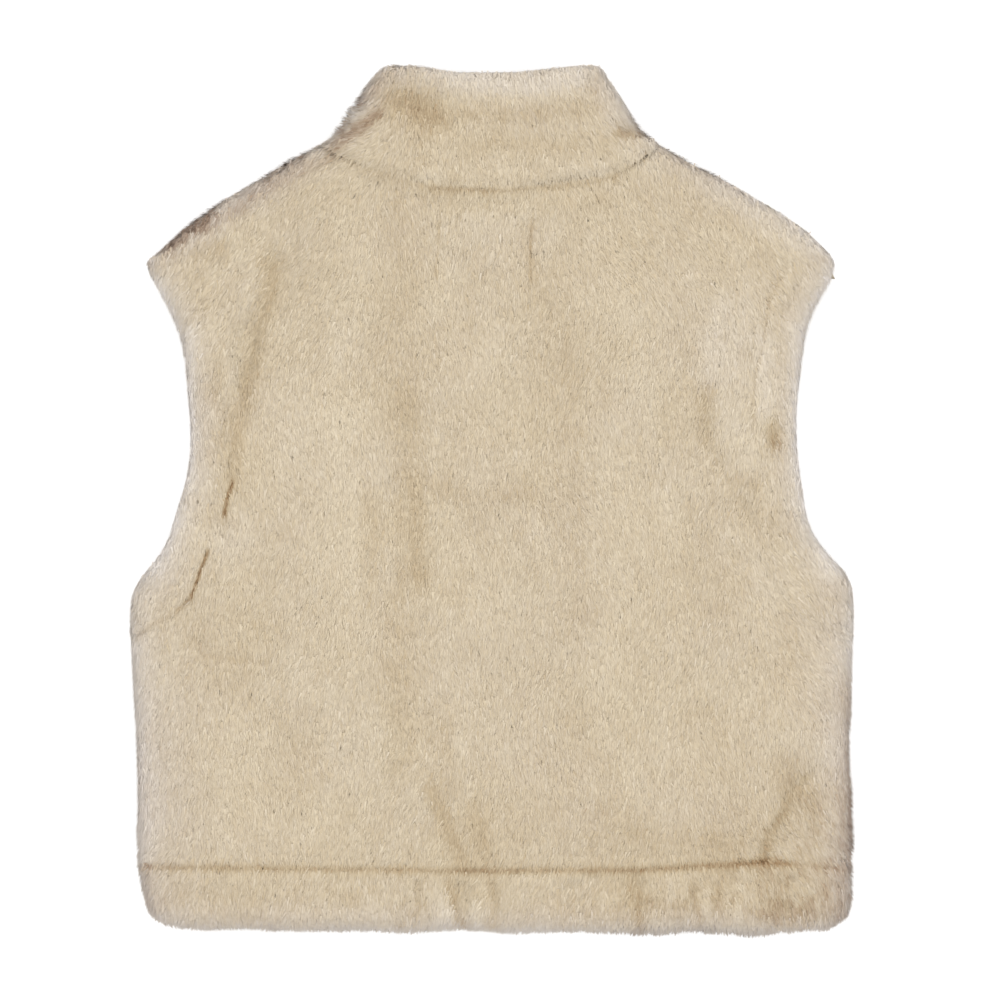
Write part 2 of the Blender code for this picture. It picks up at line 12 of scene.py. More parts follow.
import bpy
import numpy as np
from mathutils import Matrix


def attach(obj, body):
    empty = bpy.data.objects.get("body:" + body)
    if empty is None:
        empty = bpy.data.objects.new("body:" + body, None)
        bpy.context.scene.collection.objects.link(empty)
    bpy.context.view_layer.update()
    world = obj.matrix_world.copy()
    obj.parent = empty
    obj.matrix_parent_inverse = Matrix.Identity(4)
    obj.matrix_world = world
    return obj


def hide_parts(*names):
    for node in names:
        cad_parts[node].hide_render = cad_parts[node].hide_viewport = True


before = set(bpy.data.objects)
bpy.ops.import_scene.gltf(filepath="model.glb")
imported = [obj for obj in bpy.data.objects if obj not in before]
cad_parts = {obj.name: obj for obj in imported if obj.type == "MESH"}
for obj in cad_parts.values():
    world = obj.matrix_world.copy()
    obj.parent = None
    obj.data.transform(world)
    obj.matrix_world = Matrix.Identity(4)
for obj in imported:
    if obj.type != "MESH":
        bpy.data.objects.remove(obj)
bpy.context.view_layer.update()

MM = 0.001
SEED = 11

# Where the centre line and the lowest point of the hem lie in the frame
CENTRE_LINE = 0.1
HEM_LOW = -331.3

# The layers
MIDDLE = 12.0  # height of the plane where the back lies on the fronts
INNER_FACES = (11.85, 12.15)
SAME = 0.02  # heights this near are one
WELD = 0.01  # corners this near are one

# The outer side of a solid
LIP = 3.5  # the most that a layer's upright edge rises over its inner face at the outline
LIP_LEAST = 1.0  # and the least
LIP_TILT = 0.5  # how much it may face up or down
INNER_SHARE = 0.5  # a corner on the middle plane is inner when this share of its triangles is

# The backing
BACKING_DEPTH = 3.4  # how far it lies under the tips
EDGE_DEPTH = 1.3  # and at the outline
BACKING_WALL = 1.0
BACKING_ROUNDS = 2  # of softening
SEAM_REACH = 8.0  # how near a seam it lies straight under the tips
SEAM_HEIGHT = 3.0  # a border this far over the inner face is a seam
LEAST_HEIGHT = 0.2  # share of a layer's height that it keeps over the inner face
UPRIGHT = 0.2  # where the surface faces up or down by less than this, it is an edge
LEVEL_RANGE = 0.6  # from there to the full depth
NEAR_LEVEL = 0.75  # from here on it stays over the inner face
MOST_DEPTH = 0.8  # share of a layer's height that its depth may take there
DEPTH_SPARE = 0.1

# The seams' dips, as the solids have them
SEAM_DIP_REACH = 9.5
SEAM_FILL = 0.9  # share of the dip that the pile fills
SEAM_TOP = 14.0  # how high over the inner face the pile stands at a seam
FILL_ROUNDS = 80

# The tufts of the pile
PILE_ROUNDS = 3  # of softening of the surface that they stand on
TUFTS = 0.44  # for each square millimetre of what shows from above
UNDER_TUFTS = 0.15
UNDERSIDE = -0.8  # a surface that faces down more than this is the lower side
UPPER_SIDE = 0.15  # and one that faces up more than this has the creases
TUFT_WIDE = 0.85  # how far the roots of a tuft spread to either side
TUFT_LONG = 2.4  # and along it
TIP_SHARE = 0.45  # how much of that spread is left at the tips
TUFT_TURN = 8.0  # how much the tufts turn from the nap, in degrees
TUFT_LIFT = 3.0  # how much their lift differs, in degrees
TUFT_RISE = -0.2  # how high its tips stand over the surface
TUFT_UNEVEN = 0.18  # and how much that differs
TUFT_NOISE = 0.024  # how much the tufts differ in tone
TUFT_PALER = 0.05  # and in paleness
UNDER_INSET = 0.7  # how far the pile of the lower side stays inside the solid

# The strands of a tuft
STRANDS = 4
STRAND_WIDE = 1.3
UNDER_WIDE = 2.1
HALF_WIDTH = (0.5, 0.08, 0.3, 0.7)  # of that width: usual half, how much it differs, least, most
STRAND_LONG = 7.0
LONG_NOISE = 0.12  # share by which lengths differ
TIP_NOISE = 0.16  # how much the tips differ in height
ASKEW = 9.0  # how much single strands turn from the nap, in degrees
LIFT = 12.5  # degrees between a strand and the surface
LIFT_NOISE = 4.0
ROLL = 5.0  # how much the strands turn about their own length
SHOWN = 2.8  # how far back from its tip the middle of what shows of a strand is
SHOWN_LONG = 4.3  # how much of a strand shows
SHORTER = (1.0, 0.8, 0.6, 0.4, 0.2, 0.05)  # what may be left of one whose root would leave the vest
SINK = 0.15  # how much deeper a shortened strand stands, as a share of what it lost
SEAM_SHORTER = 0.35  # how much shorter the strands in a seam are
FLOOR_GAP = 0.05  # the least height of a strand over the floor
MOST_TRIANGLES = 180000  # in one piece of the pile

# The pile at an edge
OUTWARD = 0.55  # how much of the nap's outward part stays in the strands
OVER_EDGE = 0.15  # how much the nap runs on over an edge that it meets squarely
PARTED = 0.6  # the pile parts where it would point this much into the cloth
PARTED_LIFT = 6.0  # and stands up there, along the edge
PARTED_NOISE = 0.3  # how unevenly it parts to the two sides
ROLL_WIDE = 15.0  # how far in from the outline a rolled edge reaches
ROLL_HIGH = 17.0  # the most that it rises over the inner face
ROLL_SPARE = 0.4  # and the pile over that

# The fringes of the outline
FRINGE_GAP = 5.0  # how far in from the outline the tufts of a fringe stand
FRINGE_LIFT = 9.0  # for each millimetre of a fringe
CLUMP = 0.4  # share of its reach that a usual tuft has
STRAYS = 0.5  # share of the strands in a fringe that stray from it
STRAY_RANGE = (0.3, 1.2)  # how much the strays differ
STRAY_FAR = 3.2  # how far they stand out
STRAY_LIFT = 35.0
STRAY_WIDER = 1.0
# how much darker the strays are: painted shade of hairs that stand edge-on at the outline
STRAY_SHADE = -0.35

# The light on a strand: how much its way out follows these
CREASE_STEP = 0.4  # where the slope of a crease is taken
CREASE_LIGHT = 0.25
SKYWARD = 0.4  # how much the light comes from above at an edge
SKYWARD_FROM = -0.3  # where the surface faces down less than this
ROOT_LIGHT = 0.2  # how much a strand's two roots face apart
TIP_LIGHT = 0.12  # how much its tip faces along the nap

# The squares that tell how far inside the outline a place is
CELL = 2.0
FIELD_HALF = (310.0, 360.0)  # their reach from the origin
SQUARES = tuple(int(2 * half / CELL) for half in FIELD_HALF)
CLOSING = 3  # rounds that close the holes between places

# Soft noise: how far its field starts to the left of the centre line and under the hem, the
# field's size, and the spare squares at its start and in all
NOISE_FROM = (330.0, 40.0)
NOISE_FIELD = (700.0, 760.0)
NOISE_START = 4.0
NOISE_SPARE = 12

# Noises: how much, width and height of the patches, seed
NAP_DRIFTS = [(13.0, 62.0, 80.0, 1), (11.0, 17.0, 24.0, 2)]
TONE_DRIFTS = [(0.038, 46.0, 60.0, 3), (0.03, 9.0, 15.0, 4)]
PALE_DRIFTS = [(0.08, 36.0, 44.0, 5)]
CLUMP_DRIFTS = [(0.5, 9.0, 9.0, 6), (0.2, 3.0, 3.0, 7)]
MOTTLE_DRIFTS = [(1.0, 3.2, 5.0, 8)]

# Tones of the pile in its palette, from 0, the deepest root, to 1, the palest tip
BODY_TONE = 0.545
TIP_TONE = 0.02
STRAND_NOISE = 0.032  # how much single strands differ in tone

# Paleness of the pile in its palette, from 0, beige, to 1, pale
BODY_PALE = 0.10
SHEEN_REACH = 30.0  # how far the painted sheen of the edges reaches in from the outline
RIM_SHEEN_REACH = 8.0  # and its palest part, the painted rim light
# how pale the painted rim light makes the pile
RIM_SHEEN = 0.95
SHEEN_NOISE = 1.2  # how unevenly the painted sheen ends
PALE_NOISE = 0.04  # how much single strands differ in paleness
HUE_WIDE = 0.012  # how wide a strand is in the palette
PALETTE_ENDS = (0.02, 0.98)

# How near the eye stands, and where over the vest
CAMERA_UP = 2400.0
CAMERA_AT = (6.1, -0.7)
VIEW_WIDE = 760.0
SENSOR = 36.0
FARTHEST = 20.0  # in metres

# The studio, in metres: floor, light of the room, and lamps with their name, place, size and watts
FLOOR_HALF = 4.0
FLOOR_DROP = 0.0002
FLOOR_WHITE = 0.96
ROOM_LIGHT = 0.84
LAMPS = [
    ("softbox", (-0.4, 0.8, 2.9), 2.4, 50.0),
    ("fill", (0.6, -1.3, 2.8), 2.6, 40.0),
]


def colour(red, green, blue):
    """A colour of a screen, from 0 to 255, as linear light."""
    linear = []
    for part in (red, green, blue):
        share = part / 255.0
        linear.append(share / 12.92 if share <= 0.04045 else ((share + 0.055) / 1.055) ** 2.4)
    return (*linear, 1.0)


# The palette: tone, colour of the beige pile
BEIGE = [
    (0.00, colour(92, 63, 36)),
    (0.20, colour(139, 113, 80)),
    (0.40, colour(171, 153, 124)),
    (0.60, colour(190, 176, 151)),
    (0.80, colour(204, 192, 170)),
    (1.00, colour(217, 208, 190)),
]

# The palette: tone, colour of the pale pile, mostly the painted sheen where light grazes its edges
PALE_SHEEN = [
    (0.00, colour(104, 84, 70)),
    (0.20, colour(148, 130, 116)),
    (0.40, colour(179, 168, 158)),
    (0.60, colour(195, 187, 179)),
    (0.80, colour(208, 201, 195)),
    (1.00, colour(221, 215, 210)),
]

# The knitted ground: tone, colour, and how fine the roots' shade is across, along and up
GROUND = [
    (0.30, colour(190, 174, 148)),
    (0.52, colour(204, 189, 164)),
    (0.72, colour(214, 202, 180)),
]
ROOT_FINENESS = (520.0, 130.0, 520.0)
ROOTS_SHARE = 0.7  # how much of the shade is theirs

# Soft patches of another tone, partly the pile's own mottling and partly painted light and shade of
# folds and bulges: across, up, half width, half height, turn in degrees, tone, paleness, mottling
PATCHES = [
    (-243.3, 28.4, 10.6, 6.8, 0.0, -0.08, 0.00, 0.00),
    (-107.3, 28.4, 10.6, 6.8, 0.0, -0.09, 0.00, 0.00),
    (210.0, 52.6, 9.1, 6.1, 0.0, -0.09, 0.00, 0.00),
    (232.7, 26.9, 6.8, 6.1, 0.0, 0.11, 0.00, 0.00),
    (-39.3, 344.2, 12.2, 9.1, 0.0, -0.07, 0.00, 0.00),
    (213.0, 370.6, 7.6, 7.6, 0.0, -0.10, 0.00, 0.00),
    (211.5, 391.0, 9.1, 6.1, 0.0, 0.09, 0.00, 0.00),
    (-37.8, 631.3, 12.2, 10.6, 0.0, 0.06, 0.00, 0.00),
    (-250.9, 103.9, 28.9, 91.2, 0.0, -0.02, 0.34, 0.02),
    (253.8, 149.3, 19.8, 106.4, 0.0, -0.02, 0.16, 0.02),
    (244.0, 66.2, 38.0, 53.2, 0.0, -0.09, 0.05, 0.08),
    (-220.7, 537.6, 41.8, 9.1, 38.0, 0.02, 0.05, 0.16),
    (-108.8, 616.2, 9.1, 25.8, -35.0, 0.02, 0.00, 0.14),
    (194.9, 69.9, 38.0, 33.4, 0.0, -0.03, 0.00, 0.02),
    (36.2, 92.6, 159.6, 45.6, 0.0, -0.03, 0.00, 0.00),
    (149.5, 20.8, 114.0, 12.2, 0.0, -0.04, 0.00, 0.00),
    (61.9, 149.3, 22.8, 30.4, 0.0, -0.05, 0.00, 0.00),
    (-19.7, 75.2, 25.8, 25.8, 0.0, -0.05, -0.04, 0.00),
    (-223.7, 217.3, 13.7, 25.8, 0.0, -0.05, 0.00, 0.00),
    (261.4, 43.5, 19.8, 38.0, 0.0, 0.00, 0.14, 0.00),
    (172.2, 26.9, 114.0, 19.8, 0.0, -0.02, 0.00, 0.09),
    (-145.1, 24.6, 129.2, 16.7, 0.0, 0.00, 0.05, 0.05),
    (-9.1, 617.7, 91.2, 38.0, 0.0, 0.00, 0.00, 0.03),
    (-198.0, 511.9, 53.2, 38.0, 0.0, 0.00, 0.00, 0.03),
    (247.8, 255.0, 19.8, 38.0, 0.0, 0.00, 0.14, 0.00),
    (-220.7, 353.3, 16.7, 53.2, 10.0, -0.02, 0.12, 0.02),
    (-250.9, 270.2, 25.8, 22.8, 0.0, 0.00, 0.20, 0.00),
    (-196.5, 300.4, 22.8, 19.8, 0.0, 0.03, 0.16, 0.00),
    (187.3, 451.5, 30.4, 45.6, 0.0, 0.01, 0.06, 0.00),
    (-182.9, 66.2, 22.8, 18.2, 0.0, -0.02, 0.10, 0.00),
    (104.2, 35.9, 15.2, 15.2, 0.0, -0.03, -0.06, 0.00),
]

# Seams, creases and folds of the upper side, with painted shade in their tone and paleness:
# across, up, across, up, bow, half width, depth, tone, paleness
CREASES = [
    (-128.5, 595.0, -84.7, 575.4, -1.5, 1.8, 0.2, -0.08, -0.05),
    (-84.7, 575.4, -46.9, 565.6, -0.8, 1.8, 0.3, -0.06, -0.10),
    (-46.9, 564.8, 6.0, 562.5, 0.0, 1.8, 0.6, -0.24, -0.30),
    (6.0, 563.3, 40.0, 564.8, 0.0, 1.8, 0.5, -0.17, -0.20),
    (40.0, 564.1, 95.2, 573.9, 0.0, 1.8, 0.5, -0.20, -0.25),
    (95.2, 573.9, 119.3, 590.5, 0.0, 1.8, 0.3, -0.08, -0.05),
    (-267.5, 51.8, -145.1, 50.3, 0.0, 2.1, 0.6, -0.21, -0.25),
    (-145.1, 50.3, -24.2, 48.8, 0.0, 2.1, 0.6, -0.23, -0.25),
    (-24.2, 48.8, 111.8, 49.5, 0.0, 2.1, 0.6, -0.26, -0.25),
    (111.8, 49.5, 176.0, 53.3, 0.0, 2.3, 0.7, -0.29, -0.25),
    (176.0, 53.3, 208.5, 55.6, 0.0, 2.3, 0.7, -0.30, -0.30),
    (208.5, 55.6, 225.1, 54.1, 0.0, 2.3, 0.6, -0.22, -0.20),
    (225.1, 54.1, 271.9, 49.5, 0.0, 2.1, 0.5, -0.12, -0.10),
    (-40.8, 542.1, -42.4, 500.6, 0.8, 1.5, 0.5, -0.12, -0.05),
    (30.2, 542.1, 29.4, 494.5, -0.8, 1.5, 0.5, -0.12, -0.05),
    (-195.7, 342.7, -202.5, 317.0, -0.8, 1.6, 1.0, -0.44, -0.30),
    (-214.6, 290.6, -227.5, 255.8, -0.8, 1.5, 1.0, -0.40, -0.20),
    (-227.5, 255.8, -238.8, 245.2, 0.0, 1.5, 0.7, -0.22, -0.10),
    (-243.3, 242.2, -269.0, 225.6, -1.5, 1.8, 0.5, -0.12, -0.05),
    (219.8, 496.8, 210.0, 481.7, 0.0, 1.6, 0.6, -0.12, 0.00),
    (210.0, 481.7, 199.4, 422.8, 1.5, 1.5, 0.7, -0.15, 0.00),
    (199.4, 422.8, 197.9, 387.3, 0.0, 1.5, 0.6, -0.10, 0.00),
    (-220.7, 213.5, -167.8, 206.7, -2.3, 2.1, 0.3, -0.06, 0.02),
]

# Broad valleys and rises, with painted shade in the valleys and painted light on the rises: the
# same columns
VALLEYS = [
    (250.8, 42.0, 256.8, 11.8, 0.0, 7.6, 0.0, -0.12, 0.00),
    (48.3, 31.4, 52.8, 10.3, 0.0, 6.8, 0.0, -0.07, 0.00),
    (119.3, 25.4, 142.0, 19.3, 0.0, 6.8, 0.0, -0.09, 0.00),
    (-228.2, 459.0, -229.0, 341.2, 0.0, 4.6, 0.0, 0.20, 0.06),
    (234.2, 531.6, 247.8, 519.5, 0.0, 4.6, 0.0, 0.16, 0.06),
    (229.6, 383.5, 232.7, 334.4, 0.0, 4.6, 0.0, 0.12, 0.04),
    (237.2, 311.0, 250.8, 288.3, 0.0, 4.6, 0.0, 0.12, 0.00),
    (269.7, 261.1, 270.4, 224.8, 0.0, 4.6, 0.0, 0.12, 0.00),
    (-208.6, 427.3, -211.6, 406.2, 0.0, 6.1, 0.0, -0.10, 0.00),
    (-213.1, 318.5, -196.5, 312.5, 0.0, 6.1, 0.0, -0.08, 0.00),
    (185.8, 345.7, 199.4, 342.7, 0.0, 6.1, 0.0, -0.10, 0.00),
    (72.5, 646.4, 78.5, 638.9, 0.0, 5.3, 0.0, -0.10, 0.00),
    (71.0, 575.4, 84.6, 578.4, 0.0, 5.3, 0.0, 0.10, 0.00),
    (117.8, 604.1, 121.6, 593.5, 0.0, 4.6, 0.0, 0.08, 0.00),
    (-54.4, 574.6, -40.8, 573.9, 0.0, 4.6, 0.0, 0.10, 0.00),
    (-166.3, 510.4, -178.3, 459.0, 3.0, 9.1, 0.9, -0.11, -0.14),
    (-178.3, 459.0, -191.9, 391.0, 1.5, 9.1, 1.0, -0.15, -0.12),
    (-190.4, 391.0, -197.2, 342.7, 0.0, 6.1, 0.8, -0.11, -0.12),
    (-72.6, 557.3, -72.6, 481.7, 0.0, 9.1, 0.0, -0.03, 0.00),
    (-66.5, 406.2, -63.5, 345.7, 0.0, 13.7, 0.0, -0.08, -0.06),
    (-60.5, 345.7, -56.0, 270.2, 0.0, 8.4, 0.0, -0.12, -0.14),
    (-90.7, 330.6, -93.7, 255.0, 0.0, 9.1, 0.0, -0.08, -0.04),
    (-70.3, 353.3, -68.0, 262.6, 0.0, 6.8, 0.0, -0.09, -0.04),
    (-74.1, 255.0, -66.5, 134.2, 0.0, 15.2, 0.0, -0.07, -0.06),
    (-13.6, 99.4, -4.6, 60.1, 0.0, 10.6, 0.0, -0.09, -0.06),
    (27.2, 542.1, 33.2, 481.7, 0.0, 7.6, 0.0, -0.04, 0.00),
    (48.3, 466.6, 71.0, 239.9, 0.0, 18.2, 0.0, -0.06, 0.00),
    (-39.3, 333.6, 74.0, 332.1, 0.0, 6.1, 0.0, -0.05, 0.00),
    (161.6, 413.7, 163.1, 371.4, 0.0, 6.8, 0.6, -0.11, -0.08),
    (160.1, 375.9, 193.4, 318.5, 0.0, 6.1, 0.6, -0.06, -0.04),
    (196.4, 315.5, 223.6, 261.1, 0.0, 3.8, 0.5, -0.04, 0.00),
    (220.6, 128.1, 232.7, 103.9, 0.0, 12.2, 0.6, -0.13, -0.04),
    (237.2, 119.1, 222.1, 94.9, -2.3, 6.8, 1.0, -0.12, -0.12),
    (222.1, 94.9, 205.5, 60.1, -2.3, 5.3, 1.0, -0.15, -0.20),
    (205.5, 43.5, 225.1, 39.0, 0.0, 9.1, 0.4, -0.10, -0.04),
    (-246.3, 519.5, -216.1, 541.4, 0.8, 6.8, 0.0, -0.42, 0.15),
    (-247.1, 511.9, -209.3, 519.5, 0.0, 9.1, 0.0, -0.12, 0.00),
    (-216.1, 537.6, -178.3, 561.8, 0.0, 8.4, 0.0, -0.24, 0.20),
    (-178.3, 561.8, -145.1, 582.9, 0.0, 8.4, 0.0, -0.22, 0.20),
    (-117.9, 599.6, -86.2, 622.2, 0.0, 6.1, 0.0, -0.34, 0.10),
    (-134.5, 584.5, -122.4, 589.0, 0.0, 6.1, 0.0, -0.22, 0.10),
    (-83.2, 647.9, -72.6, 649.4, 0.0, 6.1, 0.0, -0.10, 0.10),
    (-93.7, 632.8, -86.2, 644.9, 0.0, 6.8, 0.0, -0.22, 0.15),
    (126.9, 595.0, 187.3, 567.8, 0.0, 6.1, 0.0, -0.06, 0.05),
    (172.2, 560.3, 232.7, 527.0, 0.0, 8.4, 0.0, 0.05, 0.00),
    (74.0, 595.0, 111.8, 587.5, 0.0, 9.1, 0.0, 0.05, 0.00),
    (179.8, 436.4, 194.9, 345.7, 0.0, 22.8, 0.0, 0.05, 0.00),
    (-77.1, 632.8, -42.4, 620.7, 0.0, 13.7, 0.8, -0.20, -0.06),
    (-27.2, 647.9, 66.4, 647.9, -7.6, 6.8, 0.0, 0.12, 0.12),
    (-46.9, 623.7, 81.6, 626.8, -4.6, 6.8, 0.0, -0.08, -0.05),
    (-16.7, 598.1, 81.6, 598.1, 0.0, 9.1, 0.0, -0.06, -0.10),
    (-31.8, 554.2, 81.6, 557.3, 0.0, 7.6, 0.0, -0.04, -0.14),
    (96.7, 607.9, 111.8, 606.4, 0.0, 6.1, 1.0, -0.22, -0.25),
    (114.8, 601.1, 149.5, 575.4, 0.0, 10.6, 0.0, 0.00, -0.15),
    (-37.8, 73.7, -18.2, 28.4, 0.0, 10.6, 0.0, 0.00, -0.12),
    (-220.7, 481.7, -235.8, 510.4, 0.0, 15.2, 0.0, -0.06, 0.00),
    (187.3, 300.4, 210.0, 262.6, 0.0, 16.7, 0.0, 0.05, 0.00),
    (111.8, 5.7, 108.8, 43.5, 0.0, 6.1, 1.0, -0.12, -0.10),
    (129.9, 9.5, 135.9, 43.5, 0.0, 4.6, 0.0, 0.05, 0.05),
    (157.1, 9.5, 152.6, 35.9, 0.0, 4.6, 0.8, -0.10, 0.00),
    (173.7, 28.4, 175.2, 43.5, 0.0, 9.1, 0.8, -0.10, 0.00),
    (-22.0, 7.2, -31.8, 40.5, 1.5, 3.8, 0.6, -0.15, -0.08),
    (1.5, 9.5, -0.0, 42.0, 0.0, 4.6, 0.4, -0.09, -0.06),
    (-10.6, 11.8, -15.2, 28.4, 0.0, 3.8, 0.0, 0.09, 0.03),
    (-34.8, 13.3, -42.4, 34.4, 0.0, 6.1, 0.0, 0.10, 0.03),
    (-51.4, 23.9, -71.1, 7.2, 0.0, 2.3, 0.3, -0.10, -0.06),
    (58.9, 398.6, 86.1, 406.2, 0.0, 12.2, 0.0, -0.04, 0.00),
    (-58.2, 9.5, -56.0, 40.5, 0.0, 3.8, 0.6, -0.07, -0.03),
    (62.7, 9.5, 60.4, 37.5, 0.0, 3.8, 0.6, -0.06, 0.00),
    (21.1, 17.1, 96.7, 17.1, 0.0, 6.8, 0.0, -0.05, 0.00),
    (211.5, 17.8, 232.7, 19.3, 0.0, 12.2, 1.0, -0.20, -0.06),
    (261.4, 13.3, 270.4, 66.2, 0.0, 10.6, 0.5, -0.16, 0.10),
    (271.2, 58.6, 271.2, 187.1, 0.0, 9.9, 0.0, -0.20, 0.06),
    (232.7, 103.9, 266.7, 103.9, 0.0, 12.2, 0.0, -0.07, 0.00),
    (111.8, 73.7, 187.3, 69.2, 0.0, 12.2, 0.0, -0.06, -0.04),
    (-261.5, 19.3, -264.5, 43.5, 0.0, 8.4, 0.0, -0.16, 0.10),
    (-267.5, 58.6, -269.0, 224.8, 0.0, 6.8, 0.0, 0.03, 0.08),
    (-256.9, 280.7, -238.8, 315.5, 0.0, 9.1, 0.0, 0.13, 0.20),
    (-253.9, 490.8, -231.2, 375.9, 4.6, 7.6, 0.0, 0.26, 0.12),
    (234.2, 330.6, 258.3, 280.7, 3.8, 9.9, 0.0, 0.22, 0.10),
    (231.9, 459.0, 232.7, 330.6, 0.0, 7.6, 0.0, 0.18, 0.10),
    (258.3, 507.4, 235.7, 459.0, 0.0, 7.6, 0.0, 0.16, 0.06),
    (213.0, 388.0, 216.0, 374.4, 0.0, 6.8, 0.8, -0.16, -0.20),
    (172.2, 474.1, 166.2, 421.3, 0.0, 12.2, 0.0, 0.06, 0.14),
    (205.5, 451.5, 205.5, 398.6, 0.0, 9.1, 0.0, 0.12, 0.20),
    (190.3, 474.1, 184.3, 391.0, 0.0, 12.2, 0.0, 0.04, 0.08),
    (-114.9, 459.0, -114.9, 285.3, 0.0, 19.8, 0.0, 0.04, 0.00),
    (-46.9, 111.5, -22.7, 57.1, 0.0, 6.8, 0.0, -0.12, -0.12),
    (-42.4, 164.4, -30.3, 119.1, 0.0, 15.2, 0.0, -0.07, -0.02),
    (111.8, 466.6, 119.3, 406.2, 0.0, 19.8, 0.0, 0.05, 0.00),
    (-31.8, 519.5, -39.3, 481.7, 0.0, 13.7, 0.0, 0.06, 0.00),
    (3.0, 459.0, -16.7, 421.3, 0.0, 12.2, 0.0, 0.05, 0.00),
    (-24.2, 149.3, -19.7, 103.9, 0.0, 9.1, 0.0, 0.06, 0.00),
    (172.2, 194.6, 187.3, 187.1, 0.0, 15.2, 0.0, 0.06, 0.00),
]

# Where the pile stands out from the outline in tufts: across, up, half width, half height, turn
# in degrees, reach, and how much single strands do
FRINGES = [
    (-122.4, 2.7, 174.8, 10.6, 0.0, 1.2, 0.25),
    (149.5, 2.7, 152.0, 10.6, 0.0, 3.0, 0.40),
    (271.9, 81.3, 10.6, 98.8, 0.0, 2.0, 0.50),
    (-270.5, 103.9, 10.6, 114.0, 0.0, 0.9, 0.30),
    (-220.7, 539.1, 41.8, 10.6, 38.0, 1.0, 1.00),
    (-156.4, 578.4, 45.6, 10.6, 31.0, 1.6, 1.00),
    (-105.8, 619.2, 16.7, 38.0, 0.0, 3.6, 1.00),
    (-73.3, 658.5, 25.8, 7.6, 0.0, 1.2, 0.40),
    (111.8, 610.1, 13.7, 25.8, 0.0, 1.4, 0.60),
    (157.1, 583.7, 38.0, 7.6, -24.0, 1.0, 0.50),
]

# Where the nap turns from straight down: across, up, half width, half height, degrees to the right
TURNS = [
    (250.0, 230.0, 40.0, 90.0, 30.0),
    (-250.0, 200.0, 40.0, 90.0, -18.0),
    (230.0, 470.0, 50.0, 60.0, 28.0),
    (-230.0, 470.0, 50.0, 60.0, -30.0),
    (120.0, 500.0, 60.0, 50.0, 24.0),
    (-130.0, 500.0, 60.0, 50.0, -14.0),
    (60.0, 320.0, 60.0, 60.0, 16.0),
    (-60.0, 300.0, 40.0, 80.0, -14.0),
    (-110.0, 610.0, 40.0, 40.0, -34.0),
    (-108.0, 624.0, 20.0, 36.0, -46.0),
    (-190.0, 560.0, 60.0, 14.0, -16.0),
    (100.0, 610.0, 40.0, 40.0, 26.0),
    (250.0, 60.0, 50.0, 50.0, 30.0),
    (-250.0, 40.0, 40.0, 40.0, -20.0),
]

# The cloth that each piece is cut from: node, width, length, area in square millimetres
CUTS = [
    ("back", 562.0, 558.0, 248000.0),
    ("front_left", 281.0, 558.0, 122000.0),
    ("front_right", 281.0, 558.0, 122000.0),
    ("collar", 528.0, 131.0, 41500.0),
    ("armhole_band_left", 36.0, 655.0, 23200.0),
    ("armhole_band_right", 36.0, 655.0, 23200.0),
    ("hem_band_back", 555.0, 59.0, 28200.0),
    ("hem_band_front_left", 275.0, 56.0, 13200.0),
    ("hem_band_front_right", 280.0, 59.0, 14300.0),
]


def unit(vectors):
    """Vectors cut to a length of one."""
    return vectors / np.maximum(np.linalg.norm(vectors, axis=1), 1e-9)[:, None]


def eased_step(share):
    """A smooth rise from nought to one."""
    share = np.clip(share, 0.0, 1.0)
    return share * share * (3.0 - 2.0 * share)


def drift(across, up, wide, tall, seed):
    """Soft noise from -1 to 1 in patches of about that width and height."""
    rng = np.random.default_rng(seed)
    left, low = NOISE_FROM
    column = across / wide + NOISE_START + left / wide
    row = up / tall + NOISE_START + low / tall
    columns = int(NOISE_FIELD[0] / wide) + NOISE_SPARE
    rows = int(NOISE_FIELD[1] / tall) + NOISE_SPARE
    grid = rng.uniform(-1.0, 1.0, (rows, columns))
    i = np.clip(row.astype(int), 0, rows - 2)
    j = np.clip(column.astype(int), 0, columns - 2)
    v = eased_step(row - i)
    u = eased_step(column - j)
    low = grid[i, j] * (1 - u) + grid[i, j + 1] * u
    high = grid[i + 1, j] * (1 - u) + grid[i + 1, j + 1] * u
    return low * (1 - v) + high * v


def drifts(across, up, noises, base=0.0):
    """Several soft noises on top of a base."""
    total = np.full(len(across), base)
    for amount, wide, tall, seed in noises:
        total = total + amount * drift(across, up, wide, tall, SEED + seed)
    return total


def in_cut(places):
    """Places of the frame as the cut counts them: across, up."""
    return places[:, 0] - CENTRE_LINE, places[:, 1] - HEM_LOW


def inner_face(points):
    """The height of the inner face that each corner stands over."""
    return np.where(points[:, 2] > MIDDLE, INNER_FACES[1], INNER_FACES[0])


def crosses_of(points, triangles):
    """The way out of each triangle, as long as twice its area."""
    corner = points[triangles]
    return np.cross(corner[:, 1] - corner[:, 0], corner[:, 2] - corner[:, 0])


def solid_of(node):
    """A node's corners in millimetres, welded, and its triangles."""
    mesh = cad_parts[node].data
    mesh.calc_loop_triangles()
    points = np.empty(len(mesh.vertices) * 3, np.float32)
    mesh.vertices.foreach_get("co", points)
    points = points.reshape(-1, 3) / MM
    triangles = np.empty(len(mesh.loop_triangles) * 3, np.int32)
    mesh.loop_triangles.foreach_get("vertices", triangles)
    _, first, place = np.unique(
        np.round(points / WELD).astype(int), axis=0, return_index=True, return_inverse=True
    )
    return points[first].astype(float), place.reshape(-1)[triangles].reshape(-1, 3)


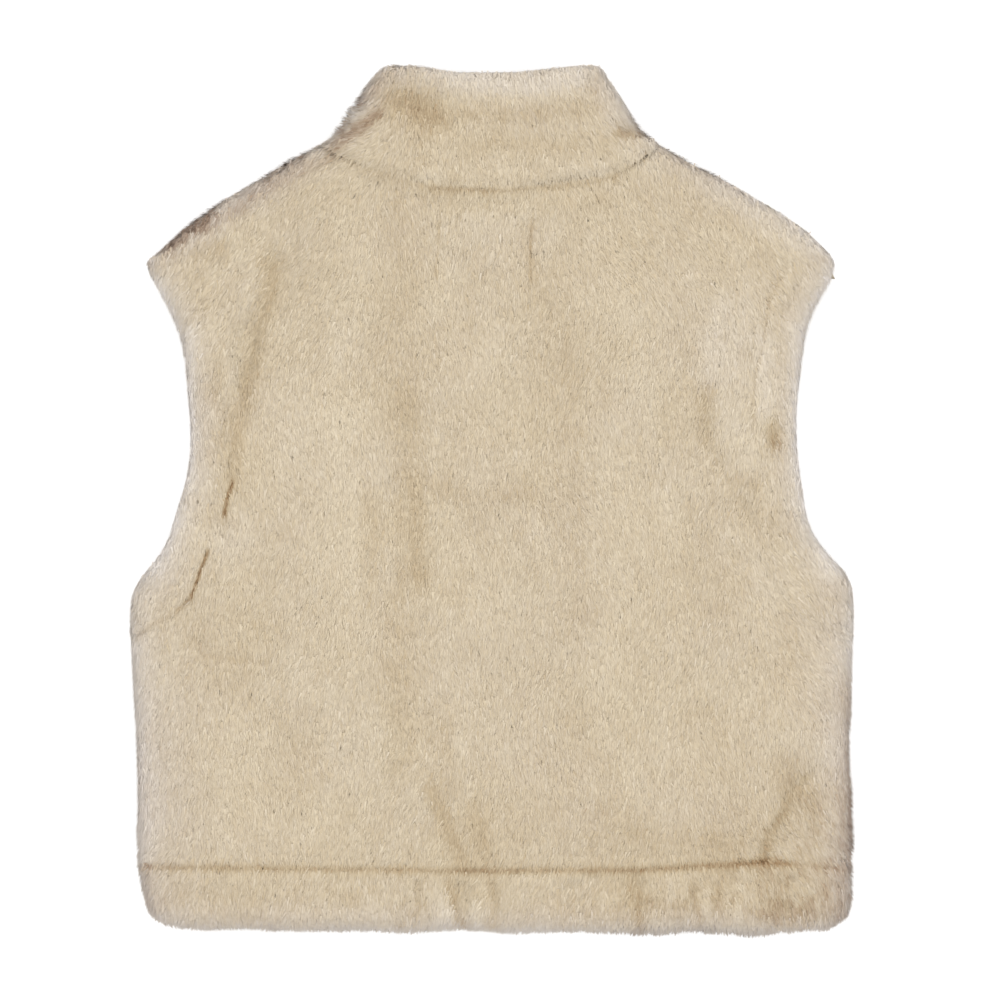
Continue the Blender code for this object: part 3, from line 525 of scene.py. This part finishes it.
def outside_of(points, triangles):
    """The side of a solid that carries the pile, without its seams' walls and its inner face."""
    over = np.abs(points[:, 2] - inner_face(points))
    tilt = np.abs(unit(crosses_of(points, triangles))[:, 2])
    heights = over[triangles]
    lip = (heights < LIP).all(axis=1) & (heights > LIP_LEAST).any(axis=1) & (tilt < LIP_TILT)
    inner = over < SAME
    on_inner = np.repeat(inner[triangles].any(axis=1), 3)
    touching = np.bincount(triangles.ravel(), on_inner, len(points))
    share = touching / np.bincount(triangles.ravel(), minlength=len(points))
    inner |= (np.abs(points[:, 2] - MIDDLE) < SAME) & (share > INNER_SHARE)
    kept = triangles[~inner[triangles].any(axis=1) | lip]
    used, place = np.unique(kept, return_inverse=True)
    return points[used], place.reshape(-1, 3)


def edges_of(triangles):
    """The edges of a mesh, how many triangles share each, and each triangle's three edges."""
    pairs = np.sort(triangles[:, [0, 1, 1, 2, 2, 0]].reshape(-1, 2), axis=1)
    edges, place, shared = np.unique(pairs, axis=0, return_inverse=True, return_counts=True)
    return edges, shared, place.reshape(-1, 3)


def refined(points, triangles):
    """Each triangle cut into four."""
    edges, _, place = edges_of(triangles)
    middles = points[edges].mean(axis=1)
    ab, bc, ca = (place + len(points)).T
    a, b, c = triangles.T
    cut = [(a, ab, ca), (ab, b, bc), (ca, bc, c), (ab, bc, ca)]
    return np.concatenate([points, middles]), np.concatenate([np.stack(t, axis=1) for t in cut])


def softened(points, triangles, rounds):
    """The mesh with each inner corner moved halfway to the middle of its neighbours, many times."""
    edges, shared, _ = edges_of(triangles)
    held = np.zeros(len(points), bool)
    held[edges[shared == 1]] = True
    ends = np.concatenate([edges, edges[:, ::-1]])
    count = np.bincount(ends[:, 0], minlength=len(points))[:, None]
    for _ in range(rounds):
        total = np.stack(
            [np.bincount(ends[:, 0], points[ends[:, 1], k], len(points)) for k in range(3)], axis=1
        )
        points = np.where(held[:, None], points, (points + total / count) / 2)
    return points


def normals_of(points, triangles):
    """The way out at each corner."""
    cross = crosses_of(points, triangles)
    total = np.zeros_like(points)
    for k in range(3):
        for axis in range(3):
            total[:, axis] += np.bincount(triangles[:, k], cross[:, axis], len(points))
    return unit(total)


def distance(across, up, line):
    """The least distance of each place from a line."""
    least = np.full(len(across), 1e9)
    for (x0, y0), (x1, y1) in zip(line[:-1], line[1:]):
        size = max((x1 - x0) ** 2 + (y1 - y0) ** 2, 1e-9)
        share = np.clip(((across - x0) * (x1 - x0) + (up - y0) * (y1 - y0)) / size, 0.0, 1.0)
        gap = np.hypot(across - x0 - share * (x1 - x0), up - y0 - share * (y1 - y0))
        least = np.minimum(least, gap)
    return least


def bowed(x0, y0, x1, y1, bow):
    """A line between two places that bows sideways."""
    long = math.hypot(x1 - x0, y1 - y0)
    steps = np.linspace(0.0, 1.0, 9)
    aside = bow * np.sin(math.pi * steps)
    x = x0 + steps * (x1 - x0) + aside * (y0 - y1) / long
    y = y0 + steps * (y1 - y0) + aside * (x1 - x0) / long
    return np.stack([x, y], axis=1)


def spot(across, up, x, y, wide, tall, turn=0.0):
    """A soft spot, one at its middle."""
    c = math.cos(math.radians(turn))
    s = math.sin(math.radians(turn))
    right = (across - x) * c + (up - y) * s
    along = (up - y) * c - (across - x) * s
    return np.exp(-((right / wide) ** 2) - (along / tall) ** 2)


def nap(across, up):
    """The way that the pile lies, in radians from straight down towards the right."""
    turn = drifts(across, up, NAP_DRIFTS)
    for x, y, wide, tall, degrees in TURNS:
        turn = turn + degrees * spot(across, up, x, y, wide, tall)
    return np.radians(turn)


def crease(across, up, lines=CREASES):
    """How deep the creases are, and the painted shade and light that they give the tone and
    paleness. The strongest counts.
    """
    least = np.zeros((3, len(across)))
    most = np.zeros((3, len(across)))
    for x0, y0, x1, y1, bow, half, *values in lines:
        line = bowed(x0, y0, x1, y1, bow)
        low = line.min(axis=0) - 3 * half
        high = line.max(axis=0) + 3 * half
        near = (across > low[0]) & (across < high[0]) & (up > low[1]) & (up < high[1])
        dip = np.exp(-((distance(across[near], up[near], line) / half) ** 2))
        for k, value in enumerate(values):
            kept, chosen = (most, np.maximum) if value > 0 else (least, np.minimum)
            kept[k, near] = chosen(kept[k, near], value * dip)
    return least + most


def regional(across, up):
    """The tone and the paleness that a place has from the patches: partly the pile's own, partly
    painted light and shade.
    """
    tone = drifts(across, up, TONE_DRIFTS)
    pale = drifts(across, up, PALE_DRIFTS, BODY_PALE)
    mottled = drifts(across, up, MOTTLE_DRIFTS)
    for x, y, wide, tall, turn, dark, warm, rough in PATCHES:
        share = spot(across, up, x, y, wide, tall, turn)
        tone = tone + (dark + rough * mottled) * share
        pale = pale + warm * share
    return tone, pale


def fringe(across, up):
    """How far the tufts of the outline may stand out, and how much their strands differ."""
    reach = np.zeros(len(across))
    loose = np.zeros(len(across))
    for x, y, wide, tall, turn, far, hair in FRINGES:
        share = spot(across, up, x, y, wide, tall, turn)
        reach = np.maximum(reach, far * share)
        loose = np.maximum(loose, hair * share)
    return reach, loose


def scattered(points, triangles, normals, rng):
    """Places for tufts all over a piece, with their ways out, and which are on the lower side."""
    cross = crosses_of(points, triangles)
    area = np.linalg.norm(cross, axis=1) / 2
    facing = cross[:, 2] / np.maximum(2 * area, 1e-9)
    wanted = np.cumsum(area * np.where(facing > UNDERSIDE, TUFTS, UNDER_TUFTS))
    count = int(wanted[-1])
    at = (np.arange(count) + rng.random(count)) * wanted[-1] / count
    face = np.minimum(np.searchsorted(wanted, at), len(triangles) - 1)
    u = rng.random(count)
    v = rng.random(count)
    over = u + v > 1
    u[over] = 1 - u[over]
    v[over] = 1 - v[over]
    weight = np.stack([1 - u - v, u, v], axis=1)[..., None]
    place = (points[triangles[face]] * weight).sum(axis=1)
    out = unit((normals[triangles[face]] * weight).sum(axis=1))
    return place, out, facing[face] <= UNDERSIDE


def square(x, y):
    """The square that each place lies in."""
    i = np.clip(((x + FIELD_HALF[0]) / CELL).astype(int), 0, SQUARES[0] - 1)
    j = np.clip(((y + FIELD_HALF[1]) / CELL).astype(int), 0, SQUARES[1] - 1)
    return i, j


def beside(squares, corners=False):
    """The squares moved by one to each side, and to each corner too."""
    ways = [(1, 0), (-1, 0), (0, 1), (0, -1)]
    if corners:
        ways += [(1, 1), (1, -1), (-1, 1), (-1, -1)]
    return [np.roll(squares, way, (0, 1)) for way in ways]


def outline_gap(x, y):
    """How far each square is inside the vest's outline, from places all over the vest."""
    inside = np.zeros(SQUARES, bool)
    inside[square(x, y)] = True
    for _ in range(CLOSING):
        inside = np.logical_or.reduce([inside] + beside(inside, True))
    for _ in range(CLOSING):
        inside = np.logical_and.reduce([inside] + beside(inside, True))
    gap = np.zeros(SQUARES)
    step = 0
    while inside.any():
        gap += inside * CELL
        inside = np.logical_and.reduce([inside] + beside(inside, step % 2 == 1))
        step += 1
    return gap


def gap_at(gap, places):
    """How far each place is inside the outline."""
    return gap[square(places[:, 0], places[:, 1])]


def rolled(gap):
    """The most that the pile stands over the inner face, this far in from the outline."""
    share = np.clip((gap + CELL) / ROLL_WIDE, 0.0, 1.0)
    return ROLL_HIGH * np.sqrt(1.0 - (1.0 - share) ** 2)


def tufts_of(place, out, under, gap, rng):
    """The tufts of a piece: where they stand, how they lie, how they are lit, and their tones."""
    across, up = in_cut(place)
    count = len(place)
    above = place[:, 2] > MIDDLE
    upper = (above & (out[:, 2] > UPPER_SIDE)).astype(float)
    flat = np.zeros(count)

    # The creases push the tufts in, and turn the light
    broad, valley_shade_and_light, valley_shade_and_light_pale = crease(across, up, VALLEYS)
    sharp = crease(across, up)[0]
    slope_x = (crease(across + CREASE_STEP, up)[0] - sharp) / CREASE_STEP
    slope_y = (crease(across, up + CREASE_STEP)[0] - sharp) / CREASE_STEP
    place = place - out * ((sharp + broad) * upper)[:, None]
    lit = unit(out + CREASE_LIGHT * np.stack([slope_x * upper, slope_y * upper, flat], axis=1))
    skyward = np.where(out[:, 2] > SKYWARD_FROM, SKYWARD * (1.0 - np.abs(out[:, 2])), 0.0)
    lit = unit(lit + skyward[:, None] * (0, 0, 1))

    # The nap, laid on the surface
    turn = nap(across, up) + np.radians(rng.normal(0.0, TUFT_TURN, count))
    lie = np.stack([np.sin(turn), -np.cos(turn), flat], axis=1)
    leaving = (lie * out).sum(axis=1)
    falling = -OVER_EDGE * leaving * np.where(above, 1.0, -1.0)
    lie = lie - leaving[:, None] * out + np.stack([flat, flat, falling], axis=1)
    lie = unit(lie - (lie * out).sum(axis=1)[:, None] * out)

    # Where it would point into the cloth it parts, along the edge
    parted = eased_step((-leaving - PARTED) / (1.0 - PARTED))
    around = unit(np.cross(out, (0.0, 0.0, 1.0)))
    chosen = (lie * around).sum(axis=1) + rng.normal(0.0, PARTED_NOISE, count) > 0
    around *= np.where(chosen, 1.0, -1.0)[:, None]
    lie = unit(lie * (1.0 - parted)[:, None] + around * parted[:, None])
    side = np.cross(lie, out)
    outward = np.maximum(leaving, 0.0)
    lie = unit(lie + (OUTWARD * outward)[:, None] * out)

    # The fringes of the outline
    edge = eased_step(1.0 - (gap_at(gap, place) - CELL) / FRINGE_GAP)
    far, loose = fringe(across, up)
    far = far * edge
    lift = LIFT + PARTED_LIFT * parted + FRINGE_LIFT * far + rng.normal(0.0, TUFT_LIFT, count)
    # Painted shade in the valleys and painted light on the rises
    tone = BODY_TONE + valley_shade_and_light * upper + rng.normal(0.0, TUFT_NOISE, count)
    pale = valley_shade_and_light_pale * upper + rng.normal(0.0, TUFT_PALER, count)
    rise = rng.normal(0.0, TUFT_UNEVEN, count) + TUFT_RISE - UNDER_INSET * (~above)
    return SimpleNamespace(
        count=count,
        above=above,
        upper=upper,
        place=place,
        out=out,
        lit=lit,
        lie=lie,
        side=side,
        lift=np.radians(lift),
        loose=loose * edge,
        short=1.0 - SEAM_SHORTER * eased_step(sharp) * upper,
        shown=SHOWN * (1.0 - outward) * (1.0 - parted),
        wide=np.where(under, UNDER_WIDE, STRAND_WIDE),
        rise=rise + far * drifts(across, up, CLUMP_DRIFTS, CLUMP),
        tone=tone,
        pale=pale,
    )


def one_strand_each(tuft, gap, rng):
    """One strand of each tuft: corners, ways out and palette places, from root over tip to root."""
    count, lie, side, out = tuft.count, tuft.lie, tuft.side, tuft.out
    aside = rng.uniform(-1.0, 1.0, count) * TUFT_WIDE
    ahead = rng.uniform(-1.0, 1.0, count) * TUFT_LONG
    own = np.radians(rng.normal(0.0, ASKEW, count))
    stray = (rng.random(count) < STRAYS) * tuft.loose * rng.uniform(*STRAY_RANGE, count)

    # From the tip back to the root
    raised = tuft.lift + np.radians(rng.normal(0.0, LIFT_NOISE, count))
    raised = raised + np.radians(STRAY_LIFT) * stray
    way = lie * np.cos(own)[:, None] + side * np.sin(own)[:, None]
    way = unit(way * np.cos(raised)[:, None] + out * np.sin(raised)[:, None])
    long = STRAND_LONG * tuft.short * (1.0 + rng.normal(0.0, LONG_NOISE, count))
    height = tuft.rise + rng.normal(0.0, TIP_NOISE, count) + STRAY_FAR * stray
    tip = tuft.place + side * (aside * TIP_SHARE)[:, None] + lie * (ahead + tuft.shown)[:, None]
    tip = tip + out * height[:, None]
    root = tip - way * long[:, None] + side * (aside * (1 - TIP_SHARE))[:, None]

    # A root that would leave the vest is drawn back to its tip, and deeper
    left = np.zeros(count)
    for share in SHORTER:
        inside = gap_at(gap, tip + (root - tip) * share) > 0
        left = np.where((left == 0) & inside, share, left)
    left = np.maximum(left, SHORTER[-1])
    root = tip + (root - tip) * left[:, None] - out * ((1.0 - left) * SINK * long)[:, None]

    # Its width, rolled a little about its length
    roll = np.radians(rng.normal(0.0, ROLL, count))
    flat = side * np.cos(own)[:, None] - lie * np.sin(own)[:, None]
    flat = flat * np.cos(roll)[:, None] + out * np.sin(roll)[:, None]
    usual, uneven, least, most = HALF_WIDTH
    half = tuft.wide * (usual + rng.normal(0.0, uneven, count)).clip(least, most)
    half = flat * (half * (1.0 + STRAY_WIDER * stray))[:, None]
    corners = [root + half, tip, root - half]
    lit = tuft.lit
    ways = [lit + ROOT_LIGHT * flat, lit + TIP_LIGHT * lie, lit - ROOT_LIGHT * flat]
    ways = [unit(way_out) for way_out in ways]

    # Its place in the palette, with painted sheen near the outline
    middle = tuft.place + lie * ahead[:, None]
    tone, pale = regional(*in_cut(middle))
    inside = gap_at(gap, middle) + rng.normal(0.0, SHEEN_NOISE, count)
    rim = 0.5 * eased_step(1.0 - inside / SHEEN_REACH) + 0.5 * eased_step(1.0 - inside / RIM_SHEEN_REACH)
    # Painted shade of the creases, at the strand's tip and at its root
    _, tip_crease_shade, tip_crease_shade_pale = crease(*in_cut(tip))
    _, root_crease_shade, root_crease_shade_pale = crease(*in_cut(tip - way * (SHOWN_LONG * tuft.short)[:, None]))
    # The strays get painted shade
    shade = tuft.tone + tone + STRAY_SHADE * stray + rng.normal(0.0, STRAND_NOISE, count)
    hue = tuft.pale + pale + 0.5 * (tip_crease_shade_pale + root_crease_shade_pale) * tuft.upper + RIM_SHEEN * rim
    hue = hue + rng.normal(0.0, PALE_NOISE, count)
    root_shade = shade + root_crease_shade * tuft.upper
    tip_shade = shade + TIP_TONE + tip_crease_shade * tuft.upper
    ends = [(hue - HUE_WIDE, root_shade), (hue, tip_shade), (hue + HUE_WIDE, root_shade)]
    palette = [np.stack(end, axis=1) for end in ends]
    return [np.stack(three, axis=1) for three in (corners, ways, palette)]


def strands_of(tuft, gap, rng):
    """All strands of some tufts: corners, ways out and palette places, three for each strand."""
    made = [one_strand_each(tuft, gap, rng) for _ in range(STRANDS)]
    corners, ways, palette = (np.concatenate(parts) for parts in zip(*made))
    above = np.tile(tuft.above, STRANDS)
    for k in (0, 2):
        high = rolled(gap_at(gap, corners[:, k])) + ROLL_SPARE
        low = np.where(above, INNER_FACES[1], INNER_FACES[0] - high)
        high = np.where(above, INNER_FACES[1] + high, INNER_FACES[0])
        corners[:, k, 2] = np.clip(corners[:, k, 2], low, high)
    corners[..., 2] = np.maximum(corners[..., 2], FLOOR_GAP)
    return corners, ways, palette.clip(*PALETTE_ENDS)


def new_piece(name, node, mesh, material):
    """A piece of the vest from a mesh."""
    mesh.materials.append(material)
    piece = bpy.data.objects.new(name, mesh)
    bpy.context.scene.collection.objects.link(piece)
    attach(piece, "root")
    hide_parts(node)
    return piece


def filled_mesh(name, points, triangles):
    """A mesh from corners in millimetres and triangles."""
    mesh = bpy.data.meshes.new(name)
    mesh.vertices.add(len(points))
    mesh.vertices.foreach_set("co", (points * MM).astype(np.float32).ravel())
    mesh.loops.add(triangles.size)
    mesh.loops.foreach_set("vertex_index", triangles.astype(np.int32).ravel())
    mesh.polygons.add(len(triangles))
    starts = np.arange(0, triangles.size, 3, dtype=np.int32)
    mesh.polygons.foreach_set("loop_start", starts)
    mesh.update(calc_edges=True)
    mesh.polygons.foreach_set("use_smooth", np.ones(len(triangles), bool))
    return mesh


def pile_piece(name, node, corners, ways, palette, material):
    """One piece of pile from its strands, each a long narrow triangle."""
    triangles = np.arange(3 * len(corners)).reshape(-1, 3)
    mesh = filled_mesh(name, corners.reshape(-1, 3), triangles)
    layer = mesh.uv_layers.new(name="OFBake")
    layer.uv.foreach_set("vector", palette.astype(np.float32).ravel())
    mesh.normals_split_custom_set_from_vertices(ways.reshape(-1, 3).tolist())
    return new_piece(name, node, mesh, material)


def seam_gap(points, triangles):
    """How far each corner is from its piece's nearest seam, and its height over the inner face."""
    edges, shared, _ = edges_of(triangles)
    rim = edges[shared == 1]
    over = np.abs(points[:, 2] - inner_face(points))
    sewn = np.unique(rim[(over[rim] > SEAM_HEIGHT).all(axis=1)])
    gap = np.full(len(points), 1e9)
    for seam in points[sewn, :2]:
        gap = np.minimum(gap, np.hypot(points[:, 0] - seam[0], points[:, 1] - seam[1]))
    return gap, over


def filled_seams(points, triangles, inside):
    """The outer side with the seams' dips filled by the pile, from the heights beside them."""
    gap, over = seam_gap(points, triangles)
    free = (gap < SEAM_DIP_REACH) & (over > LIP)
    most = np.minimum(SEAM_TOP, rolled(gap_at(inside, points) - CELL))
    edges, _, _ = edges_of(triangles)
    edges = edges[free[edges].any(axis=1)]
    ends = np.concatenate([edges, edges[:, ::-1]])
    count = np.maximum(np.bincount(ends[:, 0], minlength=len(points)), 1)
    high = np.where(free, most, over)
    for _ in range(FILL_ROUNDS):
        near = np.bincount(ends[:, 0], high[ends[:, 1]], len(points)) / count
        high = np.where(free, near, high)
    high = np.minimum(high, most)
    full = over + SEAM_FILL * np.maximum(high - over, 0.0) * free
    points = points.copy()
    points[:, 2] = np.maximum(inner_face(points) + np.sign(points[:, 2] - MIDDLE) * full, 0.0)
    return points


def backing_piece(node, points, triangles, material):
    """The thin cloth of one piece, under its pile."""
    points = softened(points, triangles, BACKING_ROUNDS)
    out = normals_of(points, triangles)
    upper = points[:, 2] > MIDDLE
    inner = inner_face(points)
    gap, over = seam_gap(points, triangles)

    # Near a seam it lies straight under the tips, and elsewhere square to them
    sunk = points.copy()
    height = np.maximum(over - BACKING_DEPTH, LEAST_HEIGHT * over)
    sunk[:, 2] = inner + np.where(upper, 1.0, -1.0) * height
    facing = np.abs(out[:, 2])
    level = eased_step((facing - UPRIGHT) / LEVEL_RANGE)
    depth = EDGE_DEPTH + (BACKING_DEPTH - EDGE_DEPTH) * level
    most = np.minimum(depth, MOST_DEPTH * over + DEPTH_SPARE)
    depth = np.where(facing < NEAR_LEVEL, depth, most)
    share = eased_step(gap / SEAM_REACH)[:, None]
    laid = share * (points - out * depth[:, None]) + (1 - share) * sunk
    inside = laid - out * BACKING_WALL
    low = np.where(upper, inner, points[:, 2])
    high = np.where(upper, points[:, 2], inner)
    for sheet in (laid, inside):
        sheet[:, 2] = np.clip(sheet[:, 2], np.minimum(low, high), np.maximum(low, high))

    # The cloth's cut edge joins its two sides
    edges, shared, _ = edges_of(triangles)
    pairs = [triangles[:, [0, 1]], triangles[:, [1, 2]], triangles[:, [2, 0]]]
    starts = set(map(tuple, np.concatenate(pairs)))
    rim = edges[shared == 1].tolist()
    a, b = np.array([(a, b) if (a, b) in starts else (b, a) for a, b in rim]).T
    count = len(points)
    sides = [np.stack([b, a, a + count], axis=1), np.stack([b, a + count, b + count], axis=1)]
    faces = np.concatenate([triangles, triangles[:, ::-1] + count, *sides])
    name = node + "_backing"
    mesh = filled_mesh(name, np.concatenate([laid, inside]), faces)
    return new_piece(name, node, mesh, material)


class Number:
    """A number inside a material, for sums in plain Python."""

    def __init__(self, finish, socket):
        self.finish = finish
        self.socket = socket

    def sum(self, operation, *values):
        return self.finish.node("ShaderNodeMath", {"operation": operation}, *values).number(0)

    def __add__(self, other):
        return self.sum("ADD", self, other)

    def __radd__(self, other):
        return self.sum("ADD", other, self)

    def __mul__(self, other):
        return self.sum("MULTIPLY", self, other)

    def __rmul__(self, other):
        return self.sum("MULTIPLY", other, self)


class Made:
    """A node that has been made, with its outputs."""

    def __init__(self, finish, made):
        self.finish = finish
        self.made = made

    def number(self, output):
        return Number(self.finish, self.made.outputs[output])

    def out(self, output):
        return self.made.outputs[output]


class Finish:
    """A new material, to which nodes are added."""

    # The share, the two colours and the result among a mix's sockets
    MIX_SHARE, MIX_FIRST, MIX_SECOND, MIXED = 0, 6, 7, 2

    def __init__(self, name, **constants):
        self.material = bpy.data.materials.new(name)
        self.material.use_nodes = True
        self.tree = self.material.node_tree
        self.shader = self.tree.nodes["Principled BSDF"]
        for socket, value in constants.items():
            self.shader.inputs[socket.replace("_", " ")].default_value = value

    def node(self, kind, settings=None, *values, **named):
        """A node with its settings, then its inputs by order or by name."""
        made = self.tree.nodes.new(kind)
        for setting, value in (settings or {}).items():
            if setting == "stops":
                self.set_stops(made.color_ramp.elements, value)
            else:
                setattr(made, setting, value)
        for place, value in list(enumerate(values)) + list(named.items()):
            name = place.replace("_", " ") if isinstance(place, str) else place
            self.feed(made.inputs[name], value)
        return Made(self, made)

    def feed(self, socket, value):
        """Sets a socket, or links it."""
        if isinstance(value, Number):
            value = value.socket
        if isinstance(value, bpy.types.NodeSocket):
            self.tree.links.new(value, socket)
        else:
            socket.default_value = value

    def set_stops(self, elements, stops):
        """The stops of a ramp: place, colour."""
        while len(elements) < len(stops):
            elements.new(1.0)
        for element, (place, shade) in zip(elements, stops):
            element.position = place
            element.color = shade

    def mixed(self, share, first, second):
        """Two colours mixed."""
        made = self.node("ShaderNodeMix", {"data_type": "RGBA"})
        self.feed(made.made.inputs[self.MIX_SHARE], share)
        self.feed(made.made.inputs[self.MIX_FIRST], first)
        self.feed(made.made.inputs[self.MIX_SECOND], second)
        return made.out(self.MIXED)

    def paint(self, shade):
        """Gives the surface its colour."""
        self.feed(self.shader.inputs["Base Color"], shade)


def pile_finish():
    """Soft matt strands, coloured by their place in the palette: paleness across, tone up."""
    finish = Finish(
        "plush_pile",
        Roughness=0.82,
        Specular_IOR_Level=0.22,
        Sheen_Weight=0.18,
        Sheen_Roughness=0.6,
    )
    where = finish.node("ShaderNodeUVMap", {"uv_map": "OFBake"}).out(0)
    parts = finish.node("ShaderNodeSeparateXYZ", None, where)
    beige = finish.node("ShaderNodeValToRGB", {"stops": BEIGE}, parts.number(1)).out(0)
    pale = finish.node("ShaderNodeValToRGB", {"stops": PALE_SHEEN}, parts.number(1)).out(0)
    finish.paint(finish.mixed(parts.number(0), beige, pale))
    return finish.material


def backing_finish():
    """The knitted ground of the pile, shaded by the roots that stand in it."""
    finish = Finish("knitted_ground", Roughness=0.95, Specular_IOR_Level=0.1)
    place = finish.node("ShaderNodeTexCoord").out("Object")
    nought = (0, 0, 0)
    fine = finish.node("ShaderNodeMapping", None, place, nought, nought, ROOT_FINENESS).out(0)
    roots = finish.node(
        "ShaderNodeTexNoise", None, Vector=fine, Scale=1.0, Detail=3.0, Roughness=0.6
    ).number(0)
    broad = finish.node("ShaderNodeTexNoise", None, Vector=place, Scale=16.0, Detail=2.0).number(0)
    tone = roots * ROOTS_SHARE + broad * (1.0 - ROOTS_SHARE)
    finish.paint(finish.node("ShaderNodeValToRGB", {"stops": GROUND}, tone).out(0))
    bump = finish.node("ShaderNodeBump", None, Strength=0.5, Distance=0.0012, Height=roots)
    finish.feed(finish.shader.inputs["Normal"], bump.out(0))
    return finish.material


def dress():
    """Makes every piece of the vest."""
    pile = pile_finish()
    ground = backing_finish()
    rng = np.random.default_rng(SEED)
    sides = {}
    for node, *_ in CUTS:
        coarse = refined(*outside_of(*solid_of(node)))
        sides[node] = (coarse, refined(*coarse))
    places = np.concatenate([points for _, (points, _) in sides.values()])
    gap = outline_gap(places[:, 0], places[:, 1])
    for node, width, length, area in CUTS:
        (rough, large), (points, triangles) = sides[node]
        backing = backing_piece(node, filled_seams(rough, large, gap), large, ground)
        points = softened(filled_seams(points, triangles, gap), triangles, PILE_ROUNDS)
        places = scattered(points, triangles, normals_of(points, triangles), rng)
        corners, ways, palette = strands_of(tufts_of(*places, gap, rng), gap, rng)
        parts = math.ceil(len(corners) / MOST_TRIANGLES)
        order = np.argsort(corners[:, 1, 1], kind="stable")
        for number, some in enumerate(np.array_split(order, parts)):
            name = node + "_pile" + (f"_{number + 1}" if parts > 1 else "")
            pile_piece(name, node, corners[some], ways[some], palette[some], pile)


def lay_floor():
    """A white floor."""
    floor = bpy.data.objects.new("floor", bpy.data.meshes.new("floor"))
    ends = [(-1, -1), (1, -1), (1, 1), (-1, 1)]
    corners = [(FLOOR_HALF * x, FLOOR_HALF * y, -FLOOR_DROP) for x, y in ends]
    floor.data.from_pydata(corners, [], [(0, 1, 2, 3)])
    paper = Finish(
        "white_paper",
        Base_Color=(FLOOR_WHITE, FLOOR_WHITE, FLOOR_WHITE, 1.0),
        Roughness=0.9,
        Specular_IOR_Level=0.1,
    )
    floor.data.materials.append(paper.material)
    bpy.context.scene.collection.objects.link(floor)


def light_room():
    """A pale room with two broad soft lamps."""
    world = bpy.context.scene.world or bpy.data.worlds.new("room")
    bpy.context.scene.world = world
    world.use_nodes = True
    air = world.node_tree.nodes["Background"].inputs
    air["Color"].default_value = (1.0, 1.0, 1.0, 1.0)
    air["Strength"].default_value = ROOM_LIGHT
    for name, place, size, watts in LAMPS:
        lamp = bpy.data.lights.new(name, "AREA")
        lamp.size = size
        lamp.energy = watts
        light = bpy.data.objects.new(name, lamp)
        light.location = place
        aim = -light.location.normalized()
        light.rotation_euler = aim.to_track_quat("-Z", "Y").to_euler()
        bpy.context.scene.collection.objects.link(light)


def set_camera():
    """The eye straight over the vest."""
    eye = bpy.data.cameras.new("eye")
    eye.sensor_width = SENSOR
    eye.lens = SENSOR * CAMERA_UP / VIEW_WIDE
    eye.clip_end = FARTHEST
    camera = bpy.data.objects.new("eye", eye)
    camera.location = (CAMERA_AT[0] * MM, CAMERA_AT[1] * MM, (CAMERA_UP + MIDDLE) * MM)
    bpy.context.scene.collection.objects.link(camera)
    bpy.context.scene.camera = camera
    bpy.context.scene.view_settings.view_transform = "Standard"


dress()
lay_floor()
light_room()
set_camera()
